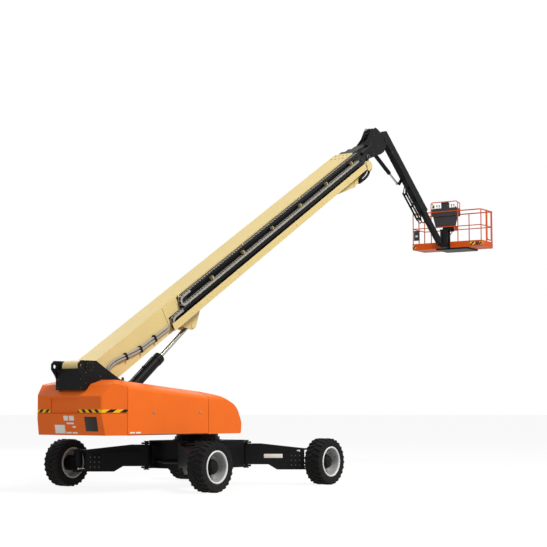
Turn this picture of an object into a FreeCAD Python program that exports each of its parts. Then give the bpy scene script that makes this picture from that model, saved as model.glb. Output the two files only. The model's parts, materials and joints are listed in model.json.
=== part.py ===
"""Telescopic boom lift: self-propelled, four swing-out axles, telescoping boom, jib and work platform.

All lengths are millimetres. +X runs forward along the boom, +Y to the left, +Z up from the ground.
Sub-parts are drawn about the slew axis and then shifted, so that the file's origin lies on the ground
under the middle of the overall length.
"""
import FreeCAD, Part
import math
import os
import re
import Sketcher
from FreeCAD import Rotation, Vector

OUTPUT_FOLDER = "parts"

SIZES = {
    # Wheels
    "wheel_x": 2234,
    "wheel_y": 2292.5,
    "tyre_radius": 577.5,
    "tyre_width": 445,
    "tyre_bead_radius": 355,
    "tyre_wall_radius": 450,
    "bead_clearance": 0.2,
    "tyre_sides": 16,
    "lug_count": 16,
    "lug_middle": 112,
    "lug_reach": 215,
    "lug_breadth": 66,
    "lug_top": 573,
    "lug_slant": 28,
    "lug_sink": 14,
    "carcass_radius": 548,
    "rim_wall": 22,
    "rim_width": 410,
    "rim_flange_height": 20,
    "rim_flange_width": 18,
    "wheel_disc_inset": 60,
    "wheel_disc_thickness": 25,
    "hub_radius": 150,
    "hub_cap_radius": 115,
    "hub_reach": 130,
    "hub_cap_depth": 35,
    # Swing-out axle beams
    "axle_pivot_x": 1200,
    "axle_pivot_y": 600,
    "kingpin_inset": 392.5,
    "beam_width": 260,
    "beam_root_bottom": 500,
    "beam_root_top": 1020,
    "beam_tip_bottom": 370,
    "beam_tip_top": 900,
    "beam_fork_gap": 190,
    "beam_fork_plate": 40,
    "beam_level_run": 380,
    "beam_belly_start": 560,
    "beam_belly_run": 220,
    "axle_pin_radius": 45,
    "kingpin_radius": 40,
    "pin_clearance": 0.5,
    "pin_reach": 15,
    "fork_overlap": 20,
    "ear_thickness": 40,
    "ear_gap": 12,
    "ear_overlap": 50,
    # Steering
    "steer_arm_length": 87,
    "steer_mid_angle": 7.7,
    "steer_arm_width": 56,
    "steer_arm_thickness": 25,
    "steer_arm_gap": 4,
    "steer_axis_height": 440,
    "steer_gland_radius": 26,
    "steer_gland_length": 22,
    "steer_bore_clearance": 1,
    "steer_bore_depth": 520,
    "steer_rod_radius": 16,
    "steer_rod_inside": 250,
    "steer_eye_radius": 28,
    "steer_eye_height": 36,
    "knuckle_radius": 105,
    "knuckle_gap": 8,
    "spindle_radius": 150,
    "drive_motor_radius": 185,
    "drive_motor_length": 110,
    "spindle_gap": 15,
    # Chassis
    "chassis_half_length": 960,
    "chassis_half_width": 730,
    "chassis_bottom": 440,
    "chassis_top": 1120,
    "chassis_wall": 40,
    "slew_ring_radius": 560,
    "slew_ring_top": 1210,
    "slew_gap": 6,
    "tie_lug_thickness": 30,
    "tie_lug_size": 130,
    "tie_hole_radius": 32,
    "tie_lug_spacing": 900,
    "tie_lug_height": 620,
    "swing_cylinder_radius": 48,
    "swing_rod_radius": 26,
    "swing_cylinder_height": 610,
    "swing_cylinder_length": 520,
    "swing_cylinder_offset": 120,
    "swing_bracket_width": 60,
    "swing_rod_length": 180,
    # Turntable
    "body_half_width": 1245,
    "body_bottom": 1296,
    "deck_thickness": 30,
    "deck_rear_x": -4040,
    "deck_front_x": 60,
    "deck_half_width": 440,
    "slew_hub_radius": 520,
    "upright_outer_y": 440,
    "upright_thickness": 30,
    "upright_top": 2970,
    "mast_front_z": 1700,
    "mast_brow_x": -2000,
    "mast_brow_z": 2040,
    "mast_shoulder_x": -3280,
    "mast_shoulder_z": 2580,
    "mast_neck_x": -3740,
    "mast_neck_z": 2810,
    "mast_crown_front_x": -4030,
    "mast_crown_rear_x": -4510,
    "mast_rear_x": -4590,
    "mast_rear_top": 2900,
    "mast_rear_bottom": 2770,
    "mast_heel_x": -4480,
    "mast_heel_z": 2640,
    "mast_foot_x": -4432,
    "mast_foot_z": 2560,
    "mast_eye_x": -4495,
    "mast_eye_z": 2840,
    "mast_eye_radius": 45,
    "mast_tie_z": 2790,
    "mast_tie_thickness": 20,
    "boom_relief_x": -4130,
    "boom_relief_z": 2150,
    "pivot_boss_radius": 128,
    "pivot_side_gap": 6,
    "lift_lug_inner": 150,
    "lift_lug_plate": 40,
    "lift_lug_half": 90,
    "lift_well_setback": 110,
    "lift_well_length": 520,
    "panel_wall": 40,
    "panel_inner_y": 470,
    "panel_gap": 14,
    "hood_rear_x": -3846,
    "hood_front_x": -1048,
    "nose_front_x": 208,
    "nose_brow_x": -620,
    "nose_brow_z": 2225,
    "nose_brow_round": 600,
    "nose_cheek_x": 20,
    "nose_cheek_z": 1960,
    "nose_cheek_round": 500,
    "nose_lip_z": 1560,
    "nose_lip_round": 260,
    "nose_tuck": 22,
    "nose_chin_round": 40,
    "shoulder_drop": 140,
    "shoulder_inner_y": 900,
    "hood_rear_top": 2540,
    "hood_front_top": 2310,
    "shoulder_low_round": 110,
    "shoulder_high_round": 220,
    "hood_hinge_radius": 14,
    "hood_hinge_length": 160,
    "cowl_wall": 40,
    "cowl_panel_top": 1560,
    "tail_x": -4450,
    "tail_foot_x": -4350,
    "tail_chamfer_y": 1020,
    "tail_waist_z": 1780,
    "tail_crease_z": 2175,
    "tail_seat_z": 2310,
    "tail_roof_run": 240,
    "tail_roof_z": 2440,
    "tail_round": 60,
    "tail_recess_left": 570,
    "tail_recess_right": -270,
    "tail_recess_bottom": 1800,
    "tail_recess_top": 2120,
    "tail_recess_depth": 25,
    "engine_length": 1500,
    "engine_side_gap": 155,
    "engine_height": 820,
    "engine_setback": 700,
    "engine_gap": 60,
    # Boom
    "boom_pivot_x": -4250,
    "boom_pivot_z": 2830,
    "boom_angle": 31.2,
    "boom_width": 610,
    "boom_top": -50,
    "boom_bottom": -748,
    "boom_wall": 12,
    "boom_front": 12500,
    "boom_tail": 280,
    "boom_collar_start": 11050,
    "boom_collar_depth": 205,
    "boom_nose_run": 120,
    "boom_nose_drop": 110,
    "boom_back": 90,
    "pivot_tube_radius": 148,
    "pivot_tube_width": 560,
    "pivot_pin_radius": 62,
    "section_step": 42,
    "section_wall": 10,
    "section_tail": 320,
    "section_tail_step": 250,
    "section_reach": 300,
    "section_gap": 20,
    # Lift cylinder
    "lift_base_x": -3650,
    "lift_base_z": 1420,
    "lift_eye_along": 3860,
    "lift_eye_drop": 1040,
    "lift_eye_slack": 20,
    "lift_barrel_radius": 132,
    "lift_barrel_length": 2800,
    "lift_rod_radius": 56,
    "lift_rod_inside": 1650,
    "lift_eye_radius": 60,
    "lift_eye_width": 180,
    "lift_pin_radius": 45,
    "bracket_plate": 40,
    "bracket_gap": 320,
    "bracket_start": 3350,
    "bracket_end": 4400,
    "bracket_boss_radius": 75,
    "lift_gland_step": 12,
    "lift_gland_length": 160,
    "lift_base_eye_radius": 85,
    "lift_base_eye_width": 260,
    "lift_barrel_start": 90,
    # Energy chain tray
    "tray_start": 2950,
    "tray_end": 12750,
    "tray_width": 150,
    "tray_top": -90,
    "tray_bottom": -700,
    "tray_wall": 12,
    "tray_lip": 190,
    "chain_width": 100,
    "chain_height": 60,
    "chain_gap": 14,
    "chain_end": 12600,
    "upper_chain_centre": 3640,
    "upper_chain_top": -98,
    "upper_chain_bottom": -370,
    "lower_chain_centre": 3150,
    "lower_chain_top": -392,
    "lower_chain_bottom": -670,
    "sheave_along": 12965,
    "sheave_up": -678,
    "sheave_radius": 150,
    "sheave_width": 90,
    "sheave_plate": 30,
    "chain_arm_start": 12820,
    "chain_arm_end": 13656,
    "chain_arm_top": -195,
    "chain_arm_height": 90,
    "chain_arm_width": 90,
    "hose_radius": 30,
    "hose_gap": 12,
    "hose_pitch": 70,
    "hose_clamp": 50,
    "hose_start_along": 420,
    "hose_start_up": -640,
    "hose_rise_along": 520,
    "hose_rise_up": -380,
    "hose_crest_along": 780,
    "hose_crest_up": -300,
    "hose_fall_along": 1240,
    "hose_fall_up": -400,
    "hose_clamp_along": 1760,
    "hose_clamp_up": -500,
    "hose_run_along": 2320,
    "hose_run_up": -520,
    "hose_end_along": 2900,
    "hose_end_up": -540,
    # Jib
    "jib_pivot_along": 14636,
    "jib_pivot_up": -504,
    "jib_angle": -42.3,
    "jib_width": 190,
    "jib_low": 5,
    "jib_high": 278,
    "jib_offset": 120,
    "jib_wall": 10,
    "jib_base_length": 3060,
    "jib_back": 120,
    "jib_knuckle_radius": 85,
    "jib_fly_step": 36,
    "jib_fly_tail": 250,
    "jib_length": 4400,
    "jib_pin_radius": 40,
    "head_plate": 25,
    "head_gap": 8,
    "head_shoulder_along": 13750,
    "head_shoulder_up": -100,
    "head_crown_along": 14027,
    "head_crown_up": 43,
    "head_brow_along": 14328,
    "head_brow_up": 17,
    "head_face_along": 14538,
    "head_face_up": -264,
    "head_lip": 90,
    "head_heel_along": 14180,
    "head_heel_up": -780,
    "head_block_length": 450,
    "jib_cylinder_side": 196,
    "jib_cylinder_radius": 62,
    "jib_cylinder_base_along": 14235,
    "jib_cylinder_base_up": -682,
    "jib_cylinder_eye_along": 1620,
    "jib_cylinder_eye_drop": 100,
    "jib_cylinder_pin_radius": 30,
    "jib_cylinder_eye_radius": 42,
    "jib_cylinder_eye_width": 64,
    "jib_barrel_length": 1080,
    "jib_barrel_start": 75,
    "jib_rod_radius": 32,
    "jib_rod_inside": 600,
    "jib_lug_half": 45,
    "jib_eye_pin_radius": 22,
    "jib_eye_radius": 60,
    "jib_eye_width": 60,
    "jib_stop_gap": 6,
    "level_pin_radius": 30,
    "carrier_start": 1900,
    "carrier_end": 3020,
    "carrier_drop": 250,
    "carrier_radius": 30,
    "carrier_side": 55,
    "carrier_strap": 40,
    # Platform
    "support_drop": 65,
    "rotator_reach": 253,
    "rotator_radius": 125,
    "rotator_height": 560,
    "rotator_drop": 80,
    "cheek_gap": 8,
    "cheek_plate": 25,
    "platform_yaw": 5.7,
    "platform_width": 2430,
    "platform_depth": 900,
    "platform_setback": 220,
    "platform_side_shift": 13,
    "platform_height": 1210,
    "toe_height": 200,
    "floor_thickness": 40,
    "toe_thickness": 8,
    "rail_radius": 19,
    "rail_bend": 70,
    "post_radius": 17,
    "mid_rail_radius": 15,
    "gate_post_radius": 23,
    "gate_gap": 7,
    "gate_bend": 60,
    "platform_gap": 6,
    "mid_rail_height": 690,
    "gate_width": 430,
    "hoop_height": 1510,
    "hoop_width": 940,
    "hoop_shift": 90,
    "console_width": 830,
    "console_depth": 300,
    "console_height": 260,
    "console_bottom": 1047,
    "console_chin": 707,
    "console_chin_width": 650,
    "console_chin_depth": 120,
    "console_cap_width": 240,
    "console_cap_height": 190,
    "console_cap_depth": 110,
    "console_gap": 6,
    "skid_depth": 50,
    "skid_width": 1070,
    "skid_shift": -145,
    "bracket_reach": 60,
    "bracket_half_width": 120,
    "bracket_thickness": 30,
}

CORNERS = {"front_left": (1, 1), "front_right": (1, -1), "rear_left": (-1, 1), "rear_right": (-1, -1)}
CHAIN_LINKS_ROUND = 8
CARRIER_STRAPS = 3
ARC_SHARE = 0.45
HOSE_COUNT = 2
HOSE_ROUTE = [(f"hose_{stage}_along", f"hose_{stage}_up")
              for stage in ("start", "rise", "crest", "fall", "clamp", "run", "end")]
HOSE_CLAMPS = [("hose_clamp_along", "hose_clamp_up"), ("hose_run_along", "hose_run_up"),
               ("hose_fall_along", "hose_fall_up")]
EXPRESSION_WORDS = {"sin", "cos", "tan", "atan2", "sqrt", "deg"}

KINGPIN_Y = "(wheel_y - kingpin_inset)"
BEAM_LENGTH = f"sqrt((wheel_x - axle_pivot_x)^2 + ({KINGPIN_Y} - axle_pivot_y)^2)"
BEAM_ANGLE = f"(atan2({KINGPIN_Y} - axle_pivot_y; wheel_x - axle_pivot_x) / (1 deg))"
STEER_SIDE = "(steer_arm_length * cos(steer_mid_angle))"
STEER_ARM_BOTTOM = "(steer_axis_height + steer_eye_height / 2 + steer_arm_gap)"

doc = FreeCAD.newDocument("BoomLift")
sheet = doc.addObject("Spreadsheet::Sheet", "Sizes")
sub_parts = []


# ---------------------------------------------------------------- helpers

def fill_sheet():
    """Write every driving size into the sheet under its own alias."""
    for row, (alias, number) in enumerate(SIZES.items(), start=1):
        sheet.set(f"A{row}", alias.replace("_", " "))
        sheet.set(f"B{row}", str(number))
        sheet.setAlias(f"B{row}", alias)
    doc.recompute()


def linked(formula):
    """Turn a formula in size names into an expression that reads the sheet."""
    def link(word):
        return word[0] if word[0] in EXPRESSION_WORDS else "Sizes." + word[0]
    return re.sub(r"[a-z][a-z0-9_]*", link, str(formula))


def number(formula):
    """Present value of a formula in size names."""
    result = sheet.evalExpression(linked(formula))
    return float(getattr(result, "Value", result))


def point(*formulas):
    """Vector from three formulas."""
    return Vector(*[number(formula) for formula in formulas])


def place(piece, position=(0, 0, 0), axis=(0, 0, 1), angle=0, frame=None):
    """Bind a piece's Placement to formulas, inside one of the named frames if given."""
    x, y, z = [linked(formula) for formula in position]
    turn = f"rotation(vector({axis[0]}; {axis[1]}; {axis[2]}); {linked(angle)})"
    local = f"placement(vector({x}; {y}; {z}); {turn})"
    piece.setExpression("Placement", f"{frame}.Placement * {local}" if frame else local)
    return piece


def box(name, corner, size):
    """Block given by its low corner and its sizes along x, y and z."""
    block = doc.addObject("Part::Box", name)
    for side, formula in zip(("Length", "Width", "Height"), size):
        block.setExpression(side, linked(formula))
    return place(block, corner)


def cylinder(name, radius, length, start, along="z"):
    """Round bar from its start point, along x, y or z."""
    bar = doc.addObject("Part::Cylinder", name)
    bar.setExpression("Radius", linked(radius))
    bar.setExpression("Height", linked(length))
    axis, angle = {"x": ((0, 1, 0), 90), "y": ((1, 0, 0), -90), "z": ((0, 0, 1), 0)}[along]
    return place(bar, start, axis, angle)


def fuse(name, pieces):
    """Join pieces into one solid."""
    joined = doc.addObject("Part::MultiFuse", name)
    joined.Shapes = pieces
    joined.Refine = True
    return joined


def cut(name, base, tools):
    """Take tools away from a base piece."""
    tool = tools[0] if len(tools) == 1 else fuse(name + "_tools", tools)
    result = doc.addObject("Part::Cut", name)
    result.Base = base
    result.Tool = tool
    result.Refine = True
    return result


def outline(sketch, corners):
    """Closed polygon in a sketch, each corner held to the sheet by its two coordinates."""
    spots = [Vector(number(across), number(up), 0) for across, up in corners]
    for here, there in zip(spots, spots[1:] + spots[:1]):
        sketch.addGeometry(Part.LineSegment(here, there), False)
    for index in range(len(spots)):
        following = (index + 1) % len(spots)
        sketch.addConstraint(Sketcher.Constraint("Coincident", index, 2, following, 1))
    for index, (spot, formulas) in enumerate(zip(spots, corners)):
        for kind, value, formula in zip(("DistanceX", "DistanceY"), (spot.x, spot.y), formulas):
            held = sketch.addConstraint(Sketcher.Constraint(kind, -1, 1, index, 1, value))
            sketch.setExpression(f"Constraints[{held}]", linked(formula))


def body_with_sketch(name, plane_role, corners):
    """PartDesign body holding one closed outline on one of its origin planes."""
    body = doc.addObject("PartDesign::Body", name)
    sketch = body.newObject("Sketcher::SketchObject", name + "_outline")
    plane = next(item for item in body.Origin.OriginFeatures if item.Role == plane_role)
    sketch.AttachmentSupport = (plane, [""])
    sketch.MapMode = "FlatFace"
    outline(sketch, corners)
    return body, sketch


def padded(name, plane_role, corners, thickness):
    """Outline padded equally to both sides of its plane."""
    body, sketch = body_with_sketch(name, plane_role, corners)
    pad = body.newObject("PartDesign::Pad", name + "_pad")
    pad.Profile = sketch
    pad.Midplane = True
    pad.setExpression("Length", linked(thickness))
    return body


def turned(name, corners):
    """Outline of (radius, offset along y) corners turned about the y axis."""
    body, sketch = body_with_sketch(name, "XY_Plane", corners)
    turn = body.newObject("PartDesign::Revolution", name + "_turn")
    turn.Profile = sketch
    turn.ReferenceAxis = (sketch, ["V_Axis"])
    turn.Angle = 360
    return body


def sub_part(piece, name, frame="machine_frame", **placing):
    """Name a finished sub-part, put it in its frame and list it for export."""
    piece.Label = name
    place(piece, frame=frame, **placing)
    sub_parts.append(piece)
    return piece


def shaped(name, shape):
    """Feature that holds a shape made by Part's own functions."""
    feature = doc.addObject("Part::Feature", name)
    feature.Shape = shape
    return feature


def corner_arc(before, corner, after, radius):
    """Start, middle and finish of the arc that rounds a corner, or the corner three times if sharp."""
    if radius == 0:
        return corner, corner, corner
    back = (before - corner).normalize()
    ahead = (after - corner).normalize()
    half = back.getAngle(ahead) / 2
    run = radius / math.tan(half)
    middle = corner + (back + ahead).normalize() * (radius / math.sin(half) - radius)
    return corner + back * run, middle, corner + ahead * run


def rounded_wire(corners, lay, closed=True):
    """Wire through (a, b, radius) corners, each rounded by its radius; lay maps (a, b) to 3-D."""
    spots = [Vector(number(a), number(b), 0) for a, b, radius in corners]
    arcs = []
    for index, (a, b, radius) in enumerate(corners):
        following = spots[(index + 1) % len(spots)]
        arcs.append(corner_arc(spots[index - 1], spots[index], following, number(radius)))
    edges = []
    for index, (start, middle, finish) in enumerate(arcs):
        if start != finish:
            edges.append(Part.Arc(lay(start), lay(middle), lay(finish)).toShape())
        if closed or index < len(arcs) - 1:
            following = arcs[(index + 1) % len(arcs)][0]
            edges.append(Part.LineSegment(lay(finish), lay(following)).toShape())
    return Part.Wire(edges)


def flowing_wire(spots, lay):
    """Open wire through points, each rounded by the arc that takes 0.45 of its shorter run."""
    arcs = []
    for before, corner, after in zip(spots, spots[1:], spots[2:]):
        half = (before - corner).getAngle(after - corner) / 2
        run = ARC_SHARE * min((before - corner).Length, (after - corner).Length)
        arcs.append(corner_arc(before, corner, after, run * math.tan(half)))
    edges = []
    here = spots[0]
    for start, middle, finish in arcs:
        edges.append(Part.LineSegment(lay(here), lay(start)).toShape())
        edges.append(Part.Arc(lay(start), lay(middle), lay(finish)).toShape())
        here = finish
    edges.append(Part.LineSegment(lay(here), lay(spots[-1])).toShape())
    return Part.Wire(edges)


def swept(name, wire, radius):
    """Round tube along a wire, its radius held to the sheet."""
    path = shaped(name + "_path", wire)
    first = wire.OrderedEdges[0]
    circle = doc.addObject("Part::Circle", name + "_circle")
    circle.setExpression("Radius", linked(radius))
    circle.Placement = FreeCAD.Placement(first.valueAt(first.FirstParameter),
                                         Rotation(Vector(0, 0, 1), first.tangentAt(first.FirstParameter)))
    sweep = doc.addObject("Part::Sweep", name)
    sweep.Sections = [circle]
    sweep.Spine = (path, [f"Edge{index + 1}" for index in range(len(wire.Edges))])
    sweep.Solid = True
    return sweep


def prism(wire, run):
    """Solid from a flat closed wire and the vector it runs along."""
    return Part.Face(wire).extrude(run)


# ---------------------------------------------------------------- frames

def make_frames():
    """Reference frames that the sub-parts hang in."""
    front = "(boom_pivot_x + jib_pivot_along * cos(boom_angle) - jib_pivot_up * sin(boom_angle)"
    front += " + jib_length * cos(jib_angle) - jib_offset * sin(jib_angle) + rotator_reach"
    front += " + (platform_setback + platform_depth) * cos(platform_yaw)"
    front += " + (platform_width / 2 - platform_side_shift) * sin(platform_yaw))"
    rear = "(boom_pivot_x - 340)"
    machine = doc.addObject("App::Placement", "machine_frame")
    place(machine, (f"-({front} + {rear}) / 2", 0, 0))
    boom = doc.addObject("App::Placement", "boom_frame")
    place(boom, ("boom_pivot_x", 0, "boom_pivot_z"), (0, -1, 0), "boom_angle", "machine_frame")
    jib = doc.addObject("App::Placement", "jib_frame")
    place(jib, ("jib_pivot_along", 0, "jib_pivot_up"), (0, -1, 0), "jib_angle - boom_angle", "boom_frame")
    support = doc.addObject("App::Placement", "support_frame")
    place(support, ("jib_length", 0, "jib_offset"), (0, -1, 0), "0 - jib_angle", "jib_frame")
    platform = doc.addObject("App::Placement", "platform_frame")
    spot = ("rotator_reach", 0, "-support_drop")
    place(platform, spot, (0, 0, 1), "platform_yaw", "support_frame")
    doc.recompute()


# ---------------------------------------------------------------- chassis

def chassis_frame():
    """Centre box with slew bearing, pivot ears, axle pins, swing cylinders and tie-down lugs."""
    shell = box("chassis_shell", ("-chassis_half_length", "-chassis_half_width", "chassis_bottom"),
                ("2 * chassis_half_length", "2 * chassis_half_width", "chassis_top - chassis_bottom"))
    wells = []
    for name, low_x in (("front", "chassis_wall"), ("rear", "-chassis_half_length + chassis_wall")):
        for side, low_y in (("left", "chassis_wall"), ("right", "-chassis_half_width + chassis_wall")):
            wells.append(box(f"chassis_well_{name}_{side}", (low_x, low_y, "chassis_bottom - 1"),
                             ("chassis_half_length - 2 * chassis_wall",
                              "chassis_half_width - 2 * chassis_wall",
                              "chassis_top - chassis_bottom - chassis_wall + 1")))
    pieces = [cut("chassis_box", shell, wells)]
    pieces.append(cylinder("slew_bearing", "slew_ring_radius", "slew_ring_top - chassis_top",
                           (0, 0, "chassis_top")))
    holes = []
    for corner, (ahead, left) in CORNERS.items():
        pieces += chassis_ears(corner, ahead, left)
        lug, hole = tie_down_lug(f"tie_lug_{corner}", ahead, left)
        pieces.append(lug)
        holes.append(hole)
    for name, ahead in (("front", 1), ("rear", -1)):
        pieces += swing_cylinder(f"swing_{name}", ahead)
    sub_part(cut("chassis", fuse("chassis_joined", pieces), holes), "chassis_frame")


def tie_down_lug(name, ahead, left):
    """Upright lug on an end of the chassis, with the drill for its shackle hole."""
    centre_y = f"{left} * tie_lug_spacing / 2"
    low_x = "chassis_half_length" if ahead > 0 else "-chassis_half_length - tie_lug_size"
    lug = box(name, (low_x, f"{centre_y} - tie_lug_thickness / 2", "tie_lug_height - tie_lug_size / 2"),
              ("tie_lug_size", "tie_lug_thickness", "tie_lug_size"))
    hole = cylinder(name + "_hole", "tie_hole_radius", "tie_lug_thickness * 2",
                    (f"{ahead} * (chassis_half_length + tie_lug_size / 2)",
                     f"{centre_y} - tie_lug_thickness", "tie_lug_height"), "y")
    return lug, hole


def swing_cylinder(name, ahead):
    """Axle-swing cylinder across one end of the chassis, with its two brackets."""
    middle_x = f"{ahead} * (chassis_half_length + swing_cylinder_offset)"
    start = "-(swing_cylinder_length + swing_rod_length) / 2"
    pieces = [cylinder(name + "_barrel", "swing_cylinder_radius", "swing_cylinder_length",
                       (middle_x, start, "swing_cylinder_height"), "y"),
              cylinder(name + "_rod", "swing_rod_radius", "swing_cylinder_length + swing_rod_length",
                       (middle_x, start, "swing_cylinder_height"), "y")]
    low_x = "chassis_half_length" if ahead > 0 else "-chassis_half_length - swing_cylinder_offset"
    for end, low_y in (("left", f"-({start}) - swing_bracket_width"), ("right", start)):
        pieces.append(box(f"{name}_bracket_{end}",
                          (low_x, low_y, "swing_cylinder_height - swing_rod_radius"),
                          ("swing_cylinder_offset", "swing_bracket_width", "2 * swing_rod_radius")))
    return pieces


def chassis_ears(corner, ahead, left):
    """Upper and lower ear at one corner, with the axle pin through both."""
    pieces = []
    low_x = "chassis_half_length - ear_overlap" if ahead > 0 else "-axle_pivot_x"
    for level, bottom in (("upper", "beam_root_top + ear_gap"),
                          ("lower", "beam_root_bottom - ear_gap - ear_thickness")):
        name = f"ear_{corner}_{level}"
        pieces.append(box(name + "_web", (low_x, f"{left} * axle_pivot_y - beam_width / 2", bottom),
                          ("axle_pivot_x - chassis_half_length + ear_overlap", "beam_width",
                           "ear_thickness")))
        pieces.append(cylinder(name + "_round", "beam_width / 2", "ear_thickness",
                               (f"{ahead} * axle_pivot_x", f"{left} * axle_pivot_y", bottom)))
    pieces.append(cylinder(f"axle_pin_{corner}", "axle_pin_radius",
                           "beam_root_top - beam_root_bottom + 2 * (ear_gap + ear_thickness + pin_reach)",
                           (f"{ahead} * axle_pivot_x", f"{left} * axle_pivot_y",
                            "beam_root_bottom - ear_gap - ear_thickness - pin_reach")))
    return pieces


# ---------------------------------------------------------------- axles and wheels

def beam_heading(ahead, left):
    """Compass angle of a beam, from its pivot to its kingpin."""
    base = BEAM_ANGLE if ahead > 0 else f"180 - {BEAM_ANGLE}"
    return base if left > 0 else f"-({base})"


def axle_beam(corner, ahead, left):
    """Tapered box beam, forked at the wheel end, with the steering cylinder's bore in that end."""
    name = f"axle_beam_{corner}"
    web_end = f"{BEAM_LENGTH} - beam_fork_gap"
    web = padded(name + "_web", "XZ_Plane", [
        (0, "beam_root_bottom"),
        ("beam_belly_start", "beam_root_bottom"),
        ("beam_belly_start + beam_belly_run", "beam_tip_bottom"),
        (web_end, "beam_tip_bottom"),
        (web_end, "beam_tip_top"),
        ("beam_level_run", "beam_root_top"),
        (0, "beam_root_top")], "beam_width")
    pieces = [web, cylinder(name + "_boss", "beam_width / 2", "beam_root_top - beam_root_bottom",
                            (0, 0, "beam_root_bottom"))]
    for level, bottom in (("upper", "beam_tip_top - beam_fork_plate"), ("lower", "beam_tip_bottom")):
        pieces.append(box(f"{name}_fork_{level}", (f"{web_end} - fork_overlap", "-beam_width / 2", bottom),
                          ("beam_fork_gap + fork_overlap", "beam_width", "beam_fork_plate")))
        pieces.append(cylinder(f"{name}_fork_round_{level}", "beam_width / 2", "beam_fork_plate",
                               (BEAM_LENGTH, 0, bottom)))
    across = f"{-ahead * left} * {STEER_SIDE}"
    pieces.append(cylinder(name + "_gland", "steer_gland_radius", "steer_gland_length + fork_overlap",
                           (f"{web_end} - fork_overlap", across, "steer_axis_height"), "x"))
    bores = [cylinder(name + "_steer_bore", "steer_rod_radius + steer_bore_clearance",
                      "steer_bore_depth + 2 * steer_gland_length",
                      (f"{web_end} - steer_bore_depth", across, "steer_axis_height"), "x"),
             cylinder(name + "_pivot_bore", "axle_pin_radius + pin_clearance",
                      "beam_root_top - beam_root_bottom + 2", (0, 0, "beam_root_bottom - 1")),
             cylinder(name + "_kingpin_bore", "kingpin_radius + pin_clearance",
                      "beam_tip_top - beam_tip_bottom + 2", (BEAM_LENGTH, 0, "beam_tip_bottom - 1"))]
    solid = cut(name, fuse(name + "_joined", pieces), bores)
    sub_part(solid, name, position=(f"{ahead} * axle_pivot_x", f"{left} * axle_pivot_y", 0),
             angle=beam_heading(ahead, left))


def steer_rod(corner, ahead, left):
    """Chrome steering rod that slides out of the beam's end, with its eye below the knuckle's arm."""
    name = f"steer_rod_{corner}"
    across = f"{-ahead * left} * {STEER_SIDE}"
    eye_x = f"{BEAM_LENGTH} - steer_arm_length * sin(steer_mid_angle)"
    inner = f"{BEAM_LENGTH} - beam_fork_gap - steer_rod_inside"
    rod = cylinder(name + "_bar", "steer_rod_radius", f"{eye_x} - ({inner})",
                   (inner, across, "steer_axis_height"), "x")
    eye = cylinder(name + "_eye", "steer_eye_radius", "steer_eye_height",
                   (eye_x, across, "steer_axis_height - steer_eye_height / 2"))
    sub_part(fuse(name, [rod, eye]), name,
             position=(f"{ahead} * axle_pivot_x", f"{left} * axle_pivot_y", 0),
             angle=beam_heading(ahead, left))


def knuckle(corner, ahead, left):
    """Steering knuckle: kingpin, block, spindle with drive motor, and steering arm."""
    name = f"knuckle_{corner}"
    block_bottom = f"({STEER_ARM_BOTTOM} + steer_arm_thickness + knuckle_gap)"
    block = cylinder(name + "_block", "knuckle_radius",
                     f"beam_tip_top - beam_fork_plate - knuckle_gap - {block_bottom}", (0, 0, block_bottom))
    pin = cylinder(name + "_pin", "kingpin_radius", "beam_tip_top - beam_tip_bottom + 2 * pin_reach",
                   (0, 0, "beam_tip_bottom - pin_reach"))
    reach = "kingpin_inset - wheel_disc_inset - spindle_gap"
    spindle = cylinder(name + "_spindle", "spindle_radius", reach, (0, 0, "tyre_radius"), "y")
    motor = cylinder(name + "_motor", "drive_motor_radius", "drive_motor_length",
                     (0, f"{reach} - drive_motor_length", "tyre_radius"), "y")
    arm = box(name + "_arm", (0, "-steer_arm_width / 2", 0),
              ("steer_arm_length", "steer_arm_width", "steer_arm_thickness"))
    heading = f"{BEAM_ANGLE} - 90 - steer_mid_angle"
    place(arm, (0, 0, STEER_ARM_BOTTOM), angle=heading if ahead * left > 0 else f"180 - ({heading})")
    eye_x = f"{ahead * left} * steer_arm_length * cos({heading})"
    eye = cylinder(name + "_arm_end", "steer_arm_width / 2", "steer_arm_thickness",
                   (eye_x, f"steer_arm_length * sin({heading})", STEER_ARM_BOTTOM))
    sub_part(fuse(name, [block, pin, spindle, motor, arm, eye]), name,
             position=(f"{ahead} * wheel_x", f"{left} * {KINGPIN_Y}", 0), angle=0 if left > 0 else 180)


def tyre(corner, ahead, left):
    """Foam-filled tyre: many-sided carcass with slanted lugs, half a pitch apart on its two sides."""
    name = f"tyre_{corner}"
    half = "tyre_width / 2"
    edge = "rim_width / 2"
    fit = "(1 / cos(180 / tyre_sides))"
    tread = many_sided(name + "_tread", "carcass_radius", "carcass_radius", f"-{half}", half)
    hollows = [many_sided(name + "_bore", f"(tyre_bead_radius + bead_clearance) * {fit}",
                          f"(tyre_bead_radius + bead_clearance) * {fit}", f"-{half}", half)]
    lip = f"(tyre_bead_radius + rim_flange_height + bead_clearance) * {fit}"
    for side, sign in (("outer", ""), ("inner", "-")):
        hollows.append(many_sided(f"{name}_dish_{side}", lip, "tyre_wall_radius",
                                  f"{sign}({edge})", f"{sign}({half})"))
    carcass = cut(name + "_carcass", tread, hollows)
    lugs = [tyre_lug(f"{name}_lug_{index}", index) for index in range(2 * int(number("lug_count")))]
    sub_part(fuse(name, [carcass, *lugs]), name,
             position=(f"{ahead} * wheel_x", f"{left} * wheel_y", "tyre_radius"),
             angle=0 if left > 0 else 180)


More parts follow.
